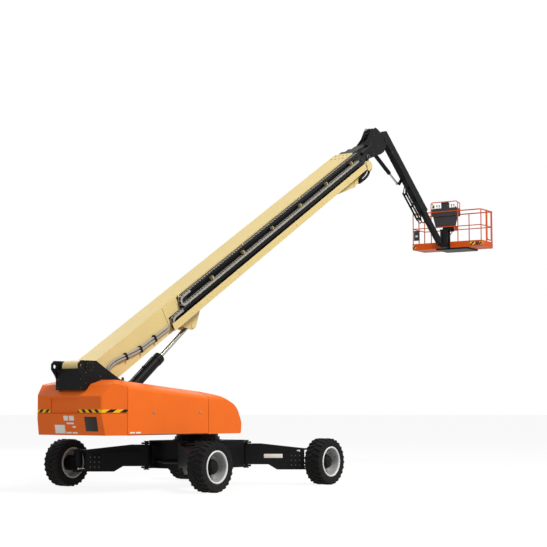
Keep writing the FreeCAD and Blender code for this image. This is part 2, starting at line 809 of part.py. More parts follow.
def many_sided(name, start_radius, end_radius, start, end):
    """Straight or tapered many-sided disc about the y axis, with corners straight up and down."""
    sections = []
    for stage, radius, along in (("start", start_radius, start), ("end", end_radius, end)):
        ring = doc.addObject("Part::RegularPolygon", f"{name}_{stage}")
        ring.setExpression("Polygon", linked("tyre_sides"))
        ring.setExpression("Circumradius", linked(radius))
        spot = f"placement(vector(0; {linked(along)}; 0); rotation(vector(1; 0; 0); -90))"
        ring.setExpression("Placement",
                           f"{spot} * placement(vector(0; 0; 0); rotation(vector(0; 0; 1); 90))")
        sections.append(ring)
    disc = doc.addObject("Part::Loft", name)
    disc.Sections = sections
    disc.Solid = True
    disc.Ruled = True
    return disc


def tyre_lug(name, index):
    """One slanted lug; even ones lie on the outer side of the tread and odd ones on the inner side."""
    lug = box(name, (0, 0, 0), ("lug_breadth", "lug_reach", "lug_top - carcass_radius + lug_sink"))
    side = 1 if index % 2 == 0 else -1
    around = f"rotation(vector(0; 1; 0); {index} * 180 / {linked('lug_count')})"
    middle = f"vector(0; {side} * {linked('lug_middle')}; 0)"
    slant = f"rotation(vector(0; 0; 1); {side} * {linked('lug_slant')})"
    corner = linked("carcass_radius - lug_sink")
    base = f"vector(-{linked('lug_breadth')} / 2; -{linked('lug_reach')} / 2; {corner})"
    lug.setExpression("Placement", f"placement(vector(0; 0; 0); {around}) * placement({middle}; {slant})"
                                   f" * placement({base}; rotation(vector(0; 0; 1); 0))")
    return lug


def wheel_rim(corner, ahead, left):
    """Deep-dished rim with its disc and the hub that stands out of it."""
    name = f"wheel_rim_{corner}"
    edge = "rim_width / 2"
    inner = "tyre_bead_radius - rim_wall"
    lip = "tyre_bead_radius + rim_flange_height"
    disc = "-wheel_disc_inset"
    body = turned(name, [
        (inner, f"-{edge} - rim_flange_width"), (lip, f"-{edge} - rim_flange_width"),
        (lip, f"-{edge}"), ("tyre_bead_radius", f"-{edge}"),
        ("tyre_bead_radius", edge), (lip, edge),
        (lip, f"{edge} + rim_flange_width"), (inner, f"{edge} + rim_flange_width"),
        (inner, f"{disc} + wheel_disc_thickness"), ("hub_radius", f"{disc} + wheel_disc_thickness"),
        ("hub_radius", "hub_reach"), ("hub_cap_radius", "hub_reach + hub_cap_depth"),
        (0, "hub_reach + hub_cap_depth"), (0, disc), (inner, disc)])
    sub_part(body, name, position=(f"{ahead} * wheel_x", f"{left} * wheel_y", "tyre_radius"),
             angle=0 if left > 0 else 180)


# ---------------------------------------------------------------- turntable

def turntable_frame():
    """Deck with slew hub, lift cylinder lugs and pin, and the well that the cylinder dips into."""
    pieces = [box("deck", ("deck_rear_x", "-deck_half_width", "body_bottom"),
                  ("deck_front_x - deck_rear_x", "2 * deck_half_width", "deck_thickness")),
              cylinder("slew_hub", "slew_hub_radius", "body_bottom - slew_ring_top - slew_gap",
                       (0, 0, "slew_ring_top + slew_gap"))]
    for side, low_y in (("left", "lift_lug_inner"), ("right", "-lift_lug_inner - lift_lug_plate")):
        pieces.append(box(f"lift_lug_{side}", ("lift_base_x - lift_lug_half", low_y, "body_bottom"),
                          ("2 * lift_lug_half", "lift_lug_plate",
                           "lift_base_z - body_bottom + lift_lug_half")))
    reach = "(lift_lug_inner + lift_lug_plate + 10)"
    pieces.append(cylinder("lift_base_pin", "lift_pin_radius", f"2 * {reach}",
                           ("lift_base_x", f"-{reach}", "lift_base_z"), "y"))
    well = box("lift_well", ("lift_base_x - lift_well_setback", "-lift_lug_inner", "body_bottom - 1"),
               ("lift_well_length", "2 * lift_lug_inner", "deck_thickness + 2"))
    pieces[0] = cut("deck_with_well", pieces[0], [well])
    sub_part(fuse("turntable", pieces), "turntable_frame")


def mast_plates():
    """Left and right mast plates, each with the boss that holds the boom's pivot pin."""
    inner = "(upright_outer_y - upright_thickness)"
    for side, left in (("left", 1), ("right", -1)):
        plate = padded(f"mast_{side}", "XZ_Plane", [
            ("deck_rear_x", "body_bottom + deck_thickness"),
            ("deck_front_x", "body_bottom + deck_thickness"),
            ("deck_front_x", "mast_front_z"), ("mast_brow_x", "mast_brow_z"),
            ("mast_shoulder_x", "mast_shoulder_z"), ("mast_neck_x", "mast_neck_z"),
            ("mast_crown_front_x", "upright_top"), ("mast_crown_rear_x", "upright_top"),
            ("mast_rear_x", "mast_rear_top"), ("mast_rear_x", "mast_rear_bottom"),
            ("mast_heel_x", "mast_heel_z"), ("mast_foot_x", "mast_foot_z"),
            ("mast_foot_x", "tail_seat_z"), ("deck_rear_x", "tail_seat_z")], "upright_thickness")
        place(plate, (0, f"{left} * (upright_outer_y - upright_thickness / 2)", 0))
        boss_run = f"{inner} - boom_width / 2 - pivot_side_gap"
        low = "boom_width / 2 + pivot_side_gap" if left > 0 else f"-{inner}"
        boss = cylinder(f"pivot_boss_{side}", "pivot_boss_radius", boss_run,
                        ("boom_pivot_x", low, "boom_pivot_z"), "y")
        start = inner if left > 0 else "-upright_outer_y"
        bores = [cylinder(f"mast_eye_{side}", "mast_eye_radius", "upright_thickness + 2",
                          ("mast_eye_x", f"{start} - 1", "mast_eye_z"), "y"),
                 cylinder(f"pivot_boss_bore_{side}", "pivot_pin_radius + pin_clearance",
                          "2 * upright_outer_y",
                          ("boom_pivot_x", 0 if left > 0 else "-2 * upright_outer_y", "boom_pivot_z"), "y")]
        sub_part(cut(f"mast_plate_{side}", fuse(f"mast_joined_{side}", [plate, boss]), bores),
                 f"mast_plate_{side}")


def mast_links():
    """The boom's pivot pin, and the plate that ties the mast plates together behind it."""
    pin = cylinder("pivot_pin", "pivot_pin_radius", "2 * (upright_outer_y + pin_reach)",
                   ("boom_pivot_x", "-upright_outer_y - pin_reach", "boom_pivot_z"), "y")
    heads = [cylinder(f"pivot_pin_head_{side}", "pivot_pin_radius + pin_reach", "pin_reach",
                      ("boom_pivot_x", low, "boom_pivot_z"), "y")
             for side, low in (("left", "upright_outer_y"), ("right", "-upright_outer_y - pin_reach"))]
    sub_part(fuse("pivot_pin_joined", [pin, *heads]), "boom_pivot_pin")
    inner = "(upright_outer_y - upright_thickness)"
    tie = box("mast_tie", (0, 0, 0), ("mast_tie_thickness", f"2 * {inner}", "mast_tie_z - tail_seat_z"))
    sub_part(tie, "mast_rear_plate", position=("mast_foot_x", f"-{inner}", "tail_seat_z"))


def lay_section(x):
    """Map (across, up) onto the plane at a given x."""
    return lambda spot: Vector(x, spot.x, spot.y)


def lay_side(y):
    """Map (along, up) onto the plane at a given y."""
    return lambda spot: Vector(spot.x, y, spot.y)


def shoulder_section(x, top, inset):
    """Cross-section of the body at x, its roof at `top`, drawn `inset` inside the outer skin."""
    outer = f"body_half_width - {inset}"
    low = "body_bottom" if inset == 0 else f"body_bottom - {inset}"
    inner = "panel_inner_y" if inset == 0 else f"panel_inner_y - {inset}"
    return rounded_wire([
        (inner, low, 0), (outer, low, 0), (outer, f"{top} - shoulder_drop - {inset}", "shoulder_low_round"),
        ("shoulder_inner_y", f"{top} - {inset}", "shoulder_high_round"), (inner, f"{top} - {inset}", 0)],
        lay_section(number(x)))


def both_sides(shape):
    """A left-hand shape with its mirror image."""
    return shape, shape.mirror(Vector(0, 0, 0), Vector(0, 1, 0))


def hoods():
    """Left and right engine hoods: shells open inward and below, closed at both ends."""
    rear = "hood_rear_x + panel_gap / 2"
    front = "hood_front_x - panel_gap / 2"
    outer = Part.makeLoft([shoulder_section(rear, "hood_rear_top", 0),
                           shoulder_section(front, "hood_front_top", 0)], True, True)
    hollow = Part.makeLoft([shoulder_section(f"{rear} + panel_wall", "hood_rear_top", "panel_wall"),
                            shoulder_section(f"{front} - panel_wall", "hood_front_top", "panel_wall")],
                           True, True)
    hinge = Part.makeCylinder(number("hood_hinge_radius"), number("hood_hinge_length"),
                              point(rear, "panel_inner_y", "hood_rear_top - panel_wall / 2"),
                              Vector(1, 0, 0))
    for side, shape in zip(("left", "right"), both_sides(outer.cut(hollow).fuse(hinge))):
        sub_part(shaped(f"hood_{side}", shape), f"hood_{side}")


def front_cowl():
    """Curved nose pods, hollow and open inward, joined across the front by a low panel."""
    start = "hood_front_x + panel_gap / 2"
    outer = nose_block(start, 0)
    hollow = nose_block(f"{start} + cowl_wall", "cowl_wall")
    left, right = both_sides(outer.cut(hollow))
    across = prism(rounded_wire(nose_profile(start, 0), lay_side(-number("panel_inner_y"))),
                   Vector(0, 2 * number("panel_inner_y"), 0))
    size = number("nose_front_x - deck_front_x")
    window = Part.makeBox(size, 2 * number("panel_inner_y"), number("cowl_panel_top - body_bottom"),
                          point("deck_front_x", "-panel_inner_y", "body_bottom"))
    under = Part.makeBox(size - number("cowl_wall"), 2 * number("panel_inner_y"),
                         number("cowl_panel_top - body_bottom - cowl_wall"),
                         point("deck_front_x", "-panel_inner_y", "body_bottom"))
    panel = across.common(window).cut(under)
    sub_part(shaped("front_cowl", left.fuse([right, panel]).removeSplitter()), "front_cowl")


def nose_profile(start, inset):
    """Side view of the nose, drawn `inset` inside the outer skin."""
    low = "body_bottom" if inset == 0 else f"body_bottom - {inset}"
    return [
        (start, low, 0), (start, f"hood_front_top - {inset}", 0),
        (f"nose_brow_x - {inset} / 4", f"nose_brow_z - {inset}", "nose_brow_round"),
        (f"nose_cheek_x - {inset} / 2", f"nose_cheek_z - {inset} / 2", "nose_cheek_round"),
        (f"nose_front_x - {inset}", f"nose_lip_z - {inset} / 4", "nose_lip_round"),
        (f"nose_front_x - nose_tuck - {inset}", low, "nose_chin_round")]


def nose_block(start, inset):
    """Left nose pod as one block: its side view crossed with the body's rounded section."""
    low_y = f"panel_inner_y - {inset}"
    solid = prism(rounded_wire(nose_profile(start, inset), lay_side(number(low_y))),
                  Vector(0, number(f"body_half_width - {inset} - ({low_y})"), 0))
    section = prism(shoulder_section(start, "hood_front_top", inset),
                    Vector(number("nose_front_x - hood_front_x"), 0, 0))
    return solid.common(section)


def counterweight():
    """Cast tail weight: chamfered in plan, waisted in side view, open in the middle for the boom."""
    front = "hood_rear_x - panel_gap / 2"
    profile = [
        (front, "body_bottom", 0), (front, "hood_rear_top", 0),
        ("tail_x + tail_roof_run", "tail_roof_z", "2 * tail_round"),
        ("tail_x", "tail_crease_z", "tail_round"), ("tail_x", "tail_waist_z", "tail_round"),
        ("tail_foot_x", "body_bottom", "tail_round / 2")]
    width = number("body_half_width")
    solid = prism(rounded_wire(profile, lay_side(-width)), Vector(0, 2 * width, 0))
    plan = rounded_wire([
        (front, "-body_half_width", 0), (front, "body_half_width", 0),
        ("tail_x", "tail_chamfer_y", "tail_round"), ("tail_x", "-tail_chamfer_y", "tail_round")],
        lambda spot: Vector(spot.x, spot.y, 0))
    solid = solid.common(prism(plan, Vector(0, 0, 2 * number("hood_rear_top"))))
    left, right = both_sides(prism(shoulder_section("tail_x", "hood_rear_top", 0),
                                   Vector(number("hood_rear_x - tail_x"), 0, 0)))
    middle = span("tail_x", "-panel_inner_y", 0, front, "panel_inner_y", "2 * hood_rear_top")
    solid = solid.common(left.fuse([right, middle]).removeSplitter())
    channel = span("deck_rear_x", "-deck_half_width", 0, "hood_front_x", "deck_half_width",
                   "2 * hood_rear_top")
    seat = span("2 * tail_x", "-deck_half_width", "tail_seat_z", "hood_front_x", "deck_half_width",
                "2 * hood_rear_top")
    relief = span("boom_relief_x", "-deck_half_width", "boom_relief_z", "hood_front_x", "deck_half_width",
                  "2 * hood_rear_top")
    recess = span("2 * tail_x", "tail_recess_right", "tail_recess_bottom",
                  "tail_x + tail_recess_depth", "tail_recess_left", "tail_recess_top")
    sub_part(shaped("counterweight", solid.cut([channel, seat, relief, recess])), "counterweight")


def span(low_x, low_y, low_z, high_x, high_y, high_z):
    """Block between two corners, as a shape."""
    low = point(low_x, low_y, low_z)
    size = point(high_x, high_y, high_z) - low
    return Part.makeBox(size.x, size.y, size.z, low)


def engine_block():
    """Engine with its pumps, as one plain block under the left hood."""
    start = "hood_rear_x + engine_setback"
    width = "(body_half_width - engine_side_gap - panel_inner_y - engine_gap)"
    block = box("engine", (start, "panel_inner_y + engine_gap", "body_bottom + engine_gap"),
                ("engine_length", width, "engine_height"))
    mount = box("engine_bearer", (start, "upright_outer_y", "body_bottom"),
                ("engine_length", f"{width} + engine_gap + panel_inner_y - upright_outer_y", "engine_gap"))
    sub_part(fuse("engine_block", [block, mount]), "engine_block")


# ---------------------------------------------------------------- boom

def tube(name, start, end, half_width, low, high, wall):
    """Open box section along x."""
    outer = box(name + "_outer", (start, f"-({half_width})", low),
                (f"{end} - ({start})", f"2 * ({half_width})", f"{high} - ({low})"))
    inner = box(name + "_inner", (f"{start} - 1", f"-({half_width}) + {wall}", f"{low} + {wall}"),
                (f"{end} - ({start}) + 2", f"2 * ({half_width}) - 2 * {wall}",
                 f"{high} - ({low}) - 2 * {wall}"))
    return outer, inner


def boom_base():
    """Base section: tail, pivot tube, box section, front collar, sheave and lift cylinder bracket."""
    profile = padded("boom_base_profile", "XZ_Plane", [
        ("-boom_back", "-boom_back"), ("pivot_tube_radius", "boom_top"), ("boom_front", "boom_top"),
        ("boom_front", "boom_bottom"),
        ("boom_front - boom_nose_run", "boom_bottom - boom_nose_drop"),
        ("boom_front - 4 * boom_nose_run", "boom_bottom - boom_collar_depth"),
        ("boom_collar_start + 2 * boom_nose_run", "boom_bottom - boom_nose_drop / 2"),
        ("boom_collar_start", "boom_bottom"), ("boom_tail", "boom_bottom")], "boom_width")
    pieces = [profile, cylinder("boom_pivot_tube", "pivot_tube_radius", "pivot_tube_width",
                                (0, "-pivot_tube_width / 2", 0), "y")]
    for side, left in (("left", 1), ("right", -1)):
        pieces += lift_bracket(side, left)
    pieces += sheave_bracket()
    outer, inner = tube("boom_bore", "section_tail - section_gap", "boom_front + section_gap",
                        "boom_width / 2", "boom_bottom", "boom_top", "boom_wall")
    doc.removeObject(outer.Name)
    bore = cylinder("boom_pivot_bore", "pivot_pin_radius + pin_clearance", "boom_width + 2",
                    (0, "-boom_width / 2 - 1", 0), "y")
    sub_part(cut("boom_base", fuse("boom_base_joined", pieces), [inner, bore]), "boom_base", "boom_frame")


def lift_bracket(side, left):
    """One plate of the bracket under the boom that holds the lift cylinder's rod, with its boss."""
    plate = padded(f"lift_bracket_{side}", "XZ_Plane", [
        ("bracket_start", "boom_bottom + boom_wall / 2"), ("bracket_end", "boom_bottom + boom_wall / 2"),
        ("lift_eye_along + bracket_boss_radius", "-lift_eye_drop - bracket_boss_radius"),
        ("lift_eye_along - bracket_boss_radius", "-lift_eye_drop - bracket_boss_radius")], "bracket_plate")
    place(plate, (0, f"{left} * (bracket_gap + bracket_plate) / 2", 0))
    low = "bracket_gap / 2" if left > 0 else "-bracket_gap / 2 - bracket_plate - pin_reach"
    boss = cylinder(f"lift_bracket_boss_{side}", "bracket_boss_radius", "bracket_plate + pin_reach",
                    ("lift_eye_along", low, "-lift_eye_drop"), "y")
    return [plate, boss]


def sheave_bracket():
    """Plate that reaches past the base section's front on its right side, with the chain sheave."""
    plate = padded("sheave_plate", "XZ_Plane", [
        ("boom_front - 4 * boom_nose_run", "boom_bottom - boom_collar_depth"),
        ("boom_front - 2 * boom_nose_run", "tray_bottom - chain_gap"),
        ("tray_end + chain_gap", "tray_bottom - chain_gap"),
        ("sheave_along", "sheave_up + 4 * sheave_plate"),
        ("sheave_along + 3 * sheave_plate", "sheave_up"),
        ("sheave_along", "sheave_up - 4 * sheave_plate")], "sheave_plate")
    place(plate, (0, "-boom_width / 2 - sheave_plate / 2", 0))
    sheave = cylinder("sheave", "sheave_radius", "sheave_width",
                      ("sheave_along", "-boom_width / 2 - sheave_plate - sheave_width", "sheave_up"), "y")
    return [plate, sheave]


def telescoping_section(name, step):
    """One inner boom section, nested `step` steps inside the base."""
    inset = f"({step} * section_step)"
    outer, inner = tube(name, f"section_tail + {step - 1} * section_tail_step",
                        f"boom_front + {step} * section_reach",
                        f"boom_width / 2 - {inset}", f"boom_bottom + {inset}", f"boom_top - {inset}",
                        "section_wall")
    return outer, inner


def boom_sections():
    """Two nested middle sections and the fly section."""
    for step, name in enumerate(("boom_outer_mid", "boom_inner_mid", "boom_fly"), start=1):
        outer, inner = telescoping_section(name, step)
        sub_part(cut(name + "_tube", outer, [inner]), name, "boom_frame")


def boom_head():
    """Head on the end of the fly: two plates, the block between them, pins and the chain's arm."""
    half = "(jib_width / 2 + head_gap)"
    low = "(boom_bottom + 3 * section_step)"
    high = "(boom_top - 3 * section_step)"
    root = "(boom_front + 3 * section_reach)"
    pieces = [box("head_block", (root, f"-{half} - head_plate", low),
                  ("head_block_length", f"2 * ({half} + head_plate)", f"{high} - {low}")),
              cylinder("jib_pin", "jib_pin_radius", f"2 * ({half} + head_plate + pin_reach)",
                       ("jib_pivot_along", f"-{half} - head_plate - pin_reach", "jib_pivot_up"), "y")]
    for side, left in (("left", 1), ("right", -1)):
        plate = padded(f"head_plate_{side}", "XZ_Plane", [
            (root, high), ("head_shoulder_along", "head_shoulder_up"), ("head_crown_along", "head_crown_up"),
            ("head_brow_along", "head_brow_up"), ("head_face_along", "head_face_up"),
            ("jib_pivot_along + head_lip", "jib_pivot_up + head_lip / 2"),
            ("jib_pivot_along + head_lip", "jib_pivot_up - head_lip"),
            ("head_heel_along + 2 * head_lip", "head_heel_up"), ("head_heel_along", "head_heel_up"),
            (root, low)], "head_plate")
        place(plate, (0, f"{left} * ({half} + head_plate / 2)", 0))
        pieces.append(plate)
    lug_reach = f"jib_cylinder_side - jib_cylinder_eye_width / 2 - {half} - head_gap"
    pieces.append(box("jib_cylinder_lug", ("jib_cylinder_base_along - jib_lug_half", half,
                                           "jib_cylinder_base_up - jib_lug_half"),
                      ("2 * jib_lug_half", lug_reach, "2 * jib_lug_half")))
    pieces.append(cylinder("jib_cylinder_pin", "jib_cylinder_pin_radius",
                           "jib_cylinder_side + jib_cylinder_eye_width / 2 + head_gap - " + half,
                           ("jib_cylinder_base_along", half, "jib_cylinder_base_up"), "y"))
    pieces.append(box("chain_arm", ("chain_arm_start", "-boom_width / 2 - sheave_plate - chain_arm_width",
                                    "chain_arm_top - chain_arm_height"),
                      ("chain_arm_end - chain_arm_start", "chain_arm_width", "chain_arm_height")))
    pieces.append(box("chain_arm_stay", (f"{root} + sheave_plate", "-boom_width / 2 - sheave_plate - 1",
                                         "chain_arm_top - chain_arm_height"),
                      ("2 * sheave_plate", f"boom_width / 2 + sheave_plate + 1 - {half}",
                       "chain_arm_height")))
    sub_part(fuse("boom_head", pieces), "boom_head", "boom_frame")


def chain_tray():
    """Cream tray along the boom's right side, open outward above its lip."""
    side = "-boom_width / 2 - tray_width"
    outer = box("tray_outer", ("tray_start", side, "tray_bottom"),
                ("tray_end - tray_start", "tray_width", "tray_top - tray_bottom"))
    inner = box("tray_inner", ("tray_start - 1", f"{side} + tray_wall", "tray_bottom + tray_wall"),
                ("tray_end - tray_start + 2", "tray_width - 2 * tray_wall", "tray_top - tray_bottom"))
    front = box("tray_mouth", ("tray_start - 1", f"{side} - 1", "tray_bottom + tray_lip"),
                ("tray_end - tray_start + 2", "tray_wall + 2", "tray_top - tray_bottom"))
    sub_part(cut("tray", outer, [inner, front]), "energy_chain_tray", "boom_frame")


def energy_chain(name, centre, top, bottom):
    """Energy chain: an upper and a lower run, joined at the rear by a many-sided loop."""
    middle = f"(({top} + {bottom}) / 2)"
    reach = f"(({top} - ({bottom})) / 2)"
    corners = []
    for step in range(CHAIN_LINKS_ROUND + 1):
        angle = f"(90 + 180 / {CHAIN_LINKS_ROUND} * {step})"
        corners.append((f"{centre} + {reach} * cos({angle})", f"{middle} + {reach} * sin({angle})"))
    corners.append(("chain_end", bottom))
    corners.append(("chain_end", f"{bottom} + chain_height"))
    for step in range(CHAIN_LINKS_ROUND, -1, -1):
        angle = f"(90 + 180 / {CHAIN_LINKS_ROUND} * {step})"
        inner = f"({reach} - chain_height)"
        corners.append((f"{centre} + {inner} * cos({angle})", f"{middle} + {inner} * sin({angle})"))
    corners.append(("chain_end", f"{top} - chain_height"))
    corners.append(("chain_end", top))
    chain = padded(name, "XZ_Plane", corners, "chain_width")
    sub_part(chain, name, "boom_frame",
             position=(0, "-boom_width / 2 - tray_width + tray_wall + chain_gap + chain_width / 2", 0))


# ---------------------------------------------------------------- cylinders

def lift_cylinder():
    """Lift cylinder: hollow barrel on the deck's lugs, and the chrome rod up to the boom's bracket."""
    frame = doc.addObject("App::Placement", "lift_frame")
    eye_drop = "(lift_eye_drop + lift_eye_slack)"
    eye_x = f"boom_pivot_x + lift_eye_along * cos(boom_angle) + {eye_drop} * sin(boom_angle)"
    eye_z = f"boom_pivot_z + lift_eye_along * sin(boom_angle) - {eye_drop} * cos(boom_angle)"
    slope = f"atan2({eye_z} - lift_base_z; {eye_x} - lift_base_x) / (1 deg)"
    length = f"sqrt(({eye_z} - lift_base_z)^2 + ({eye_x} - lift_base_x)^2)"
    place(frame, ("lift_base_x", 0, "lift_base_z"), (0, -1, 0), slope, "machine_frame")
    pieces = [cylinder("lift_barrel_outer", "lift_barrel_radius", "lift_barrel_length - lift_barrel_start",
                       ("lift_barrel_start", 0, 0), "x"),
              cylinder("lift_gland", "lift_barrel_radius + lift_gland_step", "lift_gland_length",
                       ("lift_barrel_length - lift_gland_length", 0, 0), "x"),
              cylinder("lift_base_eye", "lift_base_eye_radius", "lift_base_eye_width",
                       (0, "-lift_base_eye_width / 2", 0), "y"),
              box("lift_base_neck", (0, "-lift_base_eye_radius", "-lift_base_eye_radius + pin_reach"),
                  ("2 * lift_barrel_start", "2 * lift_base_eye_radius",
                   "2 * (lift_base_eye_radius - pin_reach)"))]
    bores = [cylinder("lift_barrel_bore", "lift_rod_radius + 2", "lift_barrel_length",
                      ("2 * lift_barrel_start", 0, 0), "x"),
             cylinder("lift_base_bore", "lift_pin_radius + pin_clearance", "lift_base_eye_width + 2",
                      (0, "-lift_base_eye_width / 2 - 1", 0), "y")]
    sub_part(cut("lift_barrel", fuse("lift_barrel_joined", pieces), bores), "lift_cylinder_barrel",
             "lift_frame")
    start = "lift_barrel_length - lift_rod_inside"
    rod = cylinder("lift_rod_bar", "lift_rod_radius", f"{length} - ({start})", (start, 0, 0), "x")
    eye = cylinder("lift_rod_eye", "lift_eye_radius", "lift_eye_width",
                   (length, "-lift_eye_width / 2", 0), "y")
    sub_part(fuse("lift_rod", [rod, eye]), "lift_cylinder_rod", "lift_frame")


def jib_cylinder():
    """Jib cylinder on the left of the jib: barrel on the boom head, rod to the jib's side lug."""
    frame = doc.addObject("App::Placement", "jib_cylinder_frame")
    turn = "(jib_angle - boom_angle)"
    drop = "(0 - jib_cylinder_eye_drop)"
    eye_a = f"(jib_pivot_along + jib_cylinder_eye_along * cos{turn} - {drop} * sin{turn})"
    eye_b = f"(jib_pivot_up + jib_cylinder_eye_along * sin{turn} + {drop} * cos{turn})"
    run_a = f"({eye_a} - jib_cylinder_base_along)"
    run_b = f"({eye_b} - jib_cylinder_base_up)"
    slope = f"atan2({run_b}; {run_a}) / (1 deg)"
    length = f"sqrt({run_a}^2 + {run_b}^2)"
    place(frame, ("jib_cylinder_base_along", "jib_cylinder_side", "jib_cylinder_base_up"),
          (0, -1, 0), slope, "boom_frame")
    half = "jib_cylinder_eye_width / 2"
    pieces = [cylinder("jib_barrel_outer", "jib_cylinder_radius", "jib_barrel_length - jib_barrel_start",
                       ("jib_barrel_start", 0, 0), "x"),
              cylinder("jib_barrel_eye", "jib_cylinder_eye_radius", "jib_cylinder_eye_width",
                       (0, f"-{half}", 0), "y"),
              box("jib_barrel_neck", (0, f"-{half}", "-jib_cylinder_pin_radius"),
                  ("jib_barrel_start + pin_reach", "jib_cylinder_eye_width", "2 * jib_cylinder_pin_radius"))]
    bores = [cylinder("jib_barrel_bore", "jib_rod_radius + 1", "jib_barrel_length",
                      ("jib_barrel_start + 2 * pin_reach", 0, 0), "x"),
             cylinder("jib_barrel_pin_bore", "jib_cylinder_pin_radius + pin_clearance",
                      "jib_cylinder_eye_width + 2", (0, f"-{half} - 1", 0), "y")]
    sub_part(cut("jib_barrel", fuse("jib_barrel_joined", pieces), bores),
             "jib_cylinder_barrel", "jib_cylinder_frame")
    start = "jib_barrel_length - jib_rod_inside"
    rod = cylinder("jib_rod_bar", "jib_rod_radius", f"{length} - ({start})", (start, 0, 0), "x")
    eye = cylinder("jib_rod_eye", "jib_cylinder_eye_radius", "jib_cylinder_eye_width",
                   (length, f"-{half}", 0), "y")
    sub_part(fuse("jib_rod", [rod, eye]), "jib_cylinder_rod", "jib_cylinder_frame")


# ---------------------------------------------------------------- jib and platform

def jib_base():
    """Jib base tube with its pivot knuckle and the side lug for the jib cylinder's rod."""
    outer, inner = tube("jib_base", "-jib_back", "jib_base_length", "jib_width / 2", "jib_low", "jib_high",
                        "jib_wall")
    stop = box("jib_base_stop", ("-jib_back", "-jib_width / 2", "jib_low"),
               ("jib_back + jib_fly_tail - jib_stop_gap", "jib_width", "jib_high - jib_low"))
    place(inner, ("jib_fly_tail - jib_stop_gap", "-jib_width / 2 + jib_wall", "jib_low + jib_wall"))
    pieces = [cut("jib_base_tube", outer, [inner]), stop,
              cylinder("jib_knuckle", "jib_knuckle_radius", "jib_width", (0, "-jib_width / 2", 0), "y"),
              box("jib_eye_lug", ("jib_cylinder_eye_along - jib_lug_half", "jib_width / 2 - jib_wall / 2",
                                  "-jib_cylinder_eye_drop - jib_lug_half"),
                  ("2 * jib_lug_half", "jib_lug_half",
                   "jib_cylinder_eye_drop + jib_low + 3 * jib_lug_half")),
              cylinder("jib_eye_pin", "jib_eye_pin_radius",
                       "jib_cylinder_side - jib_cylinder_eye_width / 2 - head_gap - jib_width / 2",
                       ("jib_cylinder_eye_along", "jib_width / 2", "-jib_cylinder_eye_drop"), "y")]
    bore = cylinder("jib_pin_bore", "jib_pin_radius + pin_clearance", "jib_width + 2",
                    (0, "-jib_width / 2 - 1", 0), "y")
    sub_part(cut("jib_base_solid", fuse("jib_base_joined", pieces), [bore]), "jib_base", "jib_frame")


def jib_fly():
    """Jib fly that slides out of the base tube, with the eye for the platform's level pin."""
    half = "(jib_width / 2 - jib_fly_step)"
    low = "(jib_low + jib_fly_step)"
    high = "(jib_high - jib_fly_step)"
    outer, inner = tube("jib_fly", "jib_fly_tail", "jib_length - 2 * jib_eye_radius", half, low, high,
                        "jib_wall")
    pieces = [cut("jib_fly_tube", outer, [inner]),
              box("jib_fly_cap", ("jib_length - 2 * jib_eye_radius - jib_wall", f"-{half}", low),
                  ("2 * jib_wall", f"2 * {half}", f"{high} - {low}")),
              box("jib_fly_end", ("jib_length - 2 * jib_eye_radius", "-jib_eye_width / 2",
                                  "jib_offset - jib_eye_radius"),
                  ("2 * jib_eye_radius", "jib_eye_width", "2 * jib_eye_radius - pin_reach")),
              cylinder("jib_fly_eye", "jib_eye_radius", "jib_eye_width",
                       ("jib_length", "-jib_eye_width / 2", "jib_offset"), "y")]
    bore = cylinder("jib_fly_bore", "level_pin_radius + pin_clearance", "jib_eye_width + 2",
                    ("jib_length", "-jib_eye_width / 2 - 1", "jib_offset"), "y")
    sub_part(cut("jib_fly_solid", fuse("jib_fly_joined", pieces), [bore]), "jib_fly", "jib_frame")


def jib_hose_carrier():
    """Two hoses below the jib, held by cross straps that hang from the base tube."""
    pieces = []
    for side, across in (("left", "carrier_side"), ("right", "-carrier_side")):
        pieces.append(cylinder(f"jib_hose_{side}", "carrier_radius", "carrier_end - carrier_start",
                               ("carrier_start", across, "-carrier_drop"), "x"))
    for index in range(CARRIER_STRAPS):
        spread = "(carrier_end - carrier_start - 3 * carrier_strap)"
        along = f"carrier_start + carrier_strap + {index} * {spread} / {CARRIER_STRAPS - 1}"
        pieces.append(box(f"jib_strap_{index}",
                          (along, "-carrier_side", "-carrier_drop - carrier_strap / 2"),
                          ("carrier_strap", "2 * carrier_side", "carrier_strap")))
        pieces.append(box(f"jib_hanger_{index}", (along, "-carrier_strap / 2", "-carrier_drop"),
                          ("carrier_strap", "carrier_strap", "carrier_drop + jib_low")))
    sub_part(fuse("jib_hoses", pieces), "jib_hose_carrier", "jib_frame")


def platform_support():
    """Level bracket on the jib fly's pin, with the rotator column that carries the platform."""
    inner = "(jib_eye_width / 2 + cheek_gap)"
    pieces = [cylinder("support_pin", "level_pin_radius", f"2 * ({inner} + cheek_plate + cheek_gap)",
                       (0, f"-{inner} - cheek_plate - cheek_gap", 0), "y"),
              cylinder("rotator_column", "rotator_radius", "rotator_height",
                       ("rotator_reach", 0, "-rotator_drop"))]
    for side, low in (("left", inner), ("right", f"-{inner} - cheek_plate")):
        pieces.append(box(f"support_cheek_{side}", (0, low, "-jib_eye_radius"),
                          ("rotator_reach", "cheek_plate", "2 * jib_eye_radius")))
        pieces.append(cylinder(f"support_cheek_round_{side}", "jib_eye_radius", "cheek_plate",
                               (0, low, 0), "y"))
    sub_part(fuse("support_joined", pieces), "platform_support", "support_frame")


def post(name, x, y, low, high, radius="post_radius"):
    """Upright guard-rail post between two heights."""
    return cylinder(name, radius, f"{high} - ({low})", (x, y, low))


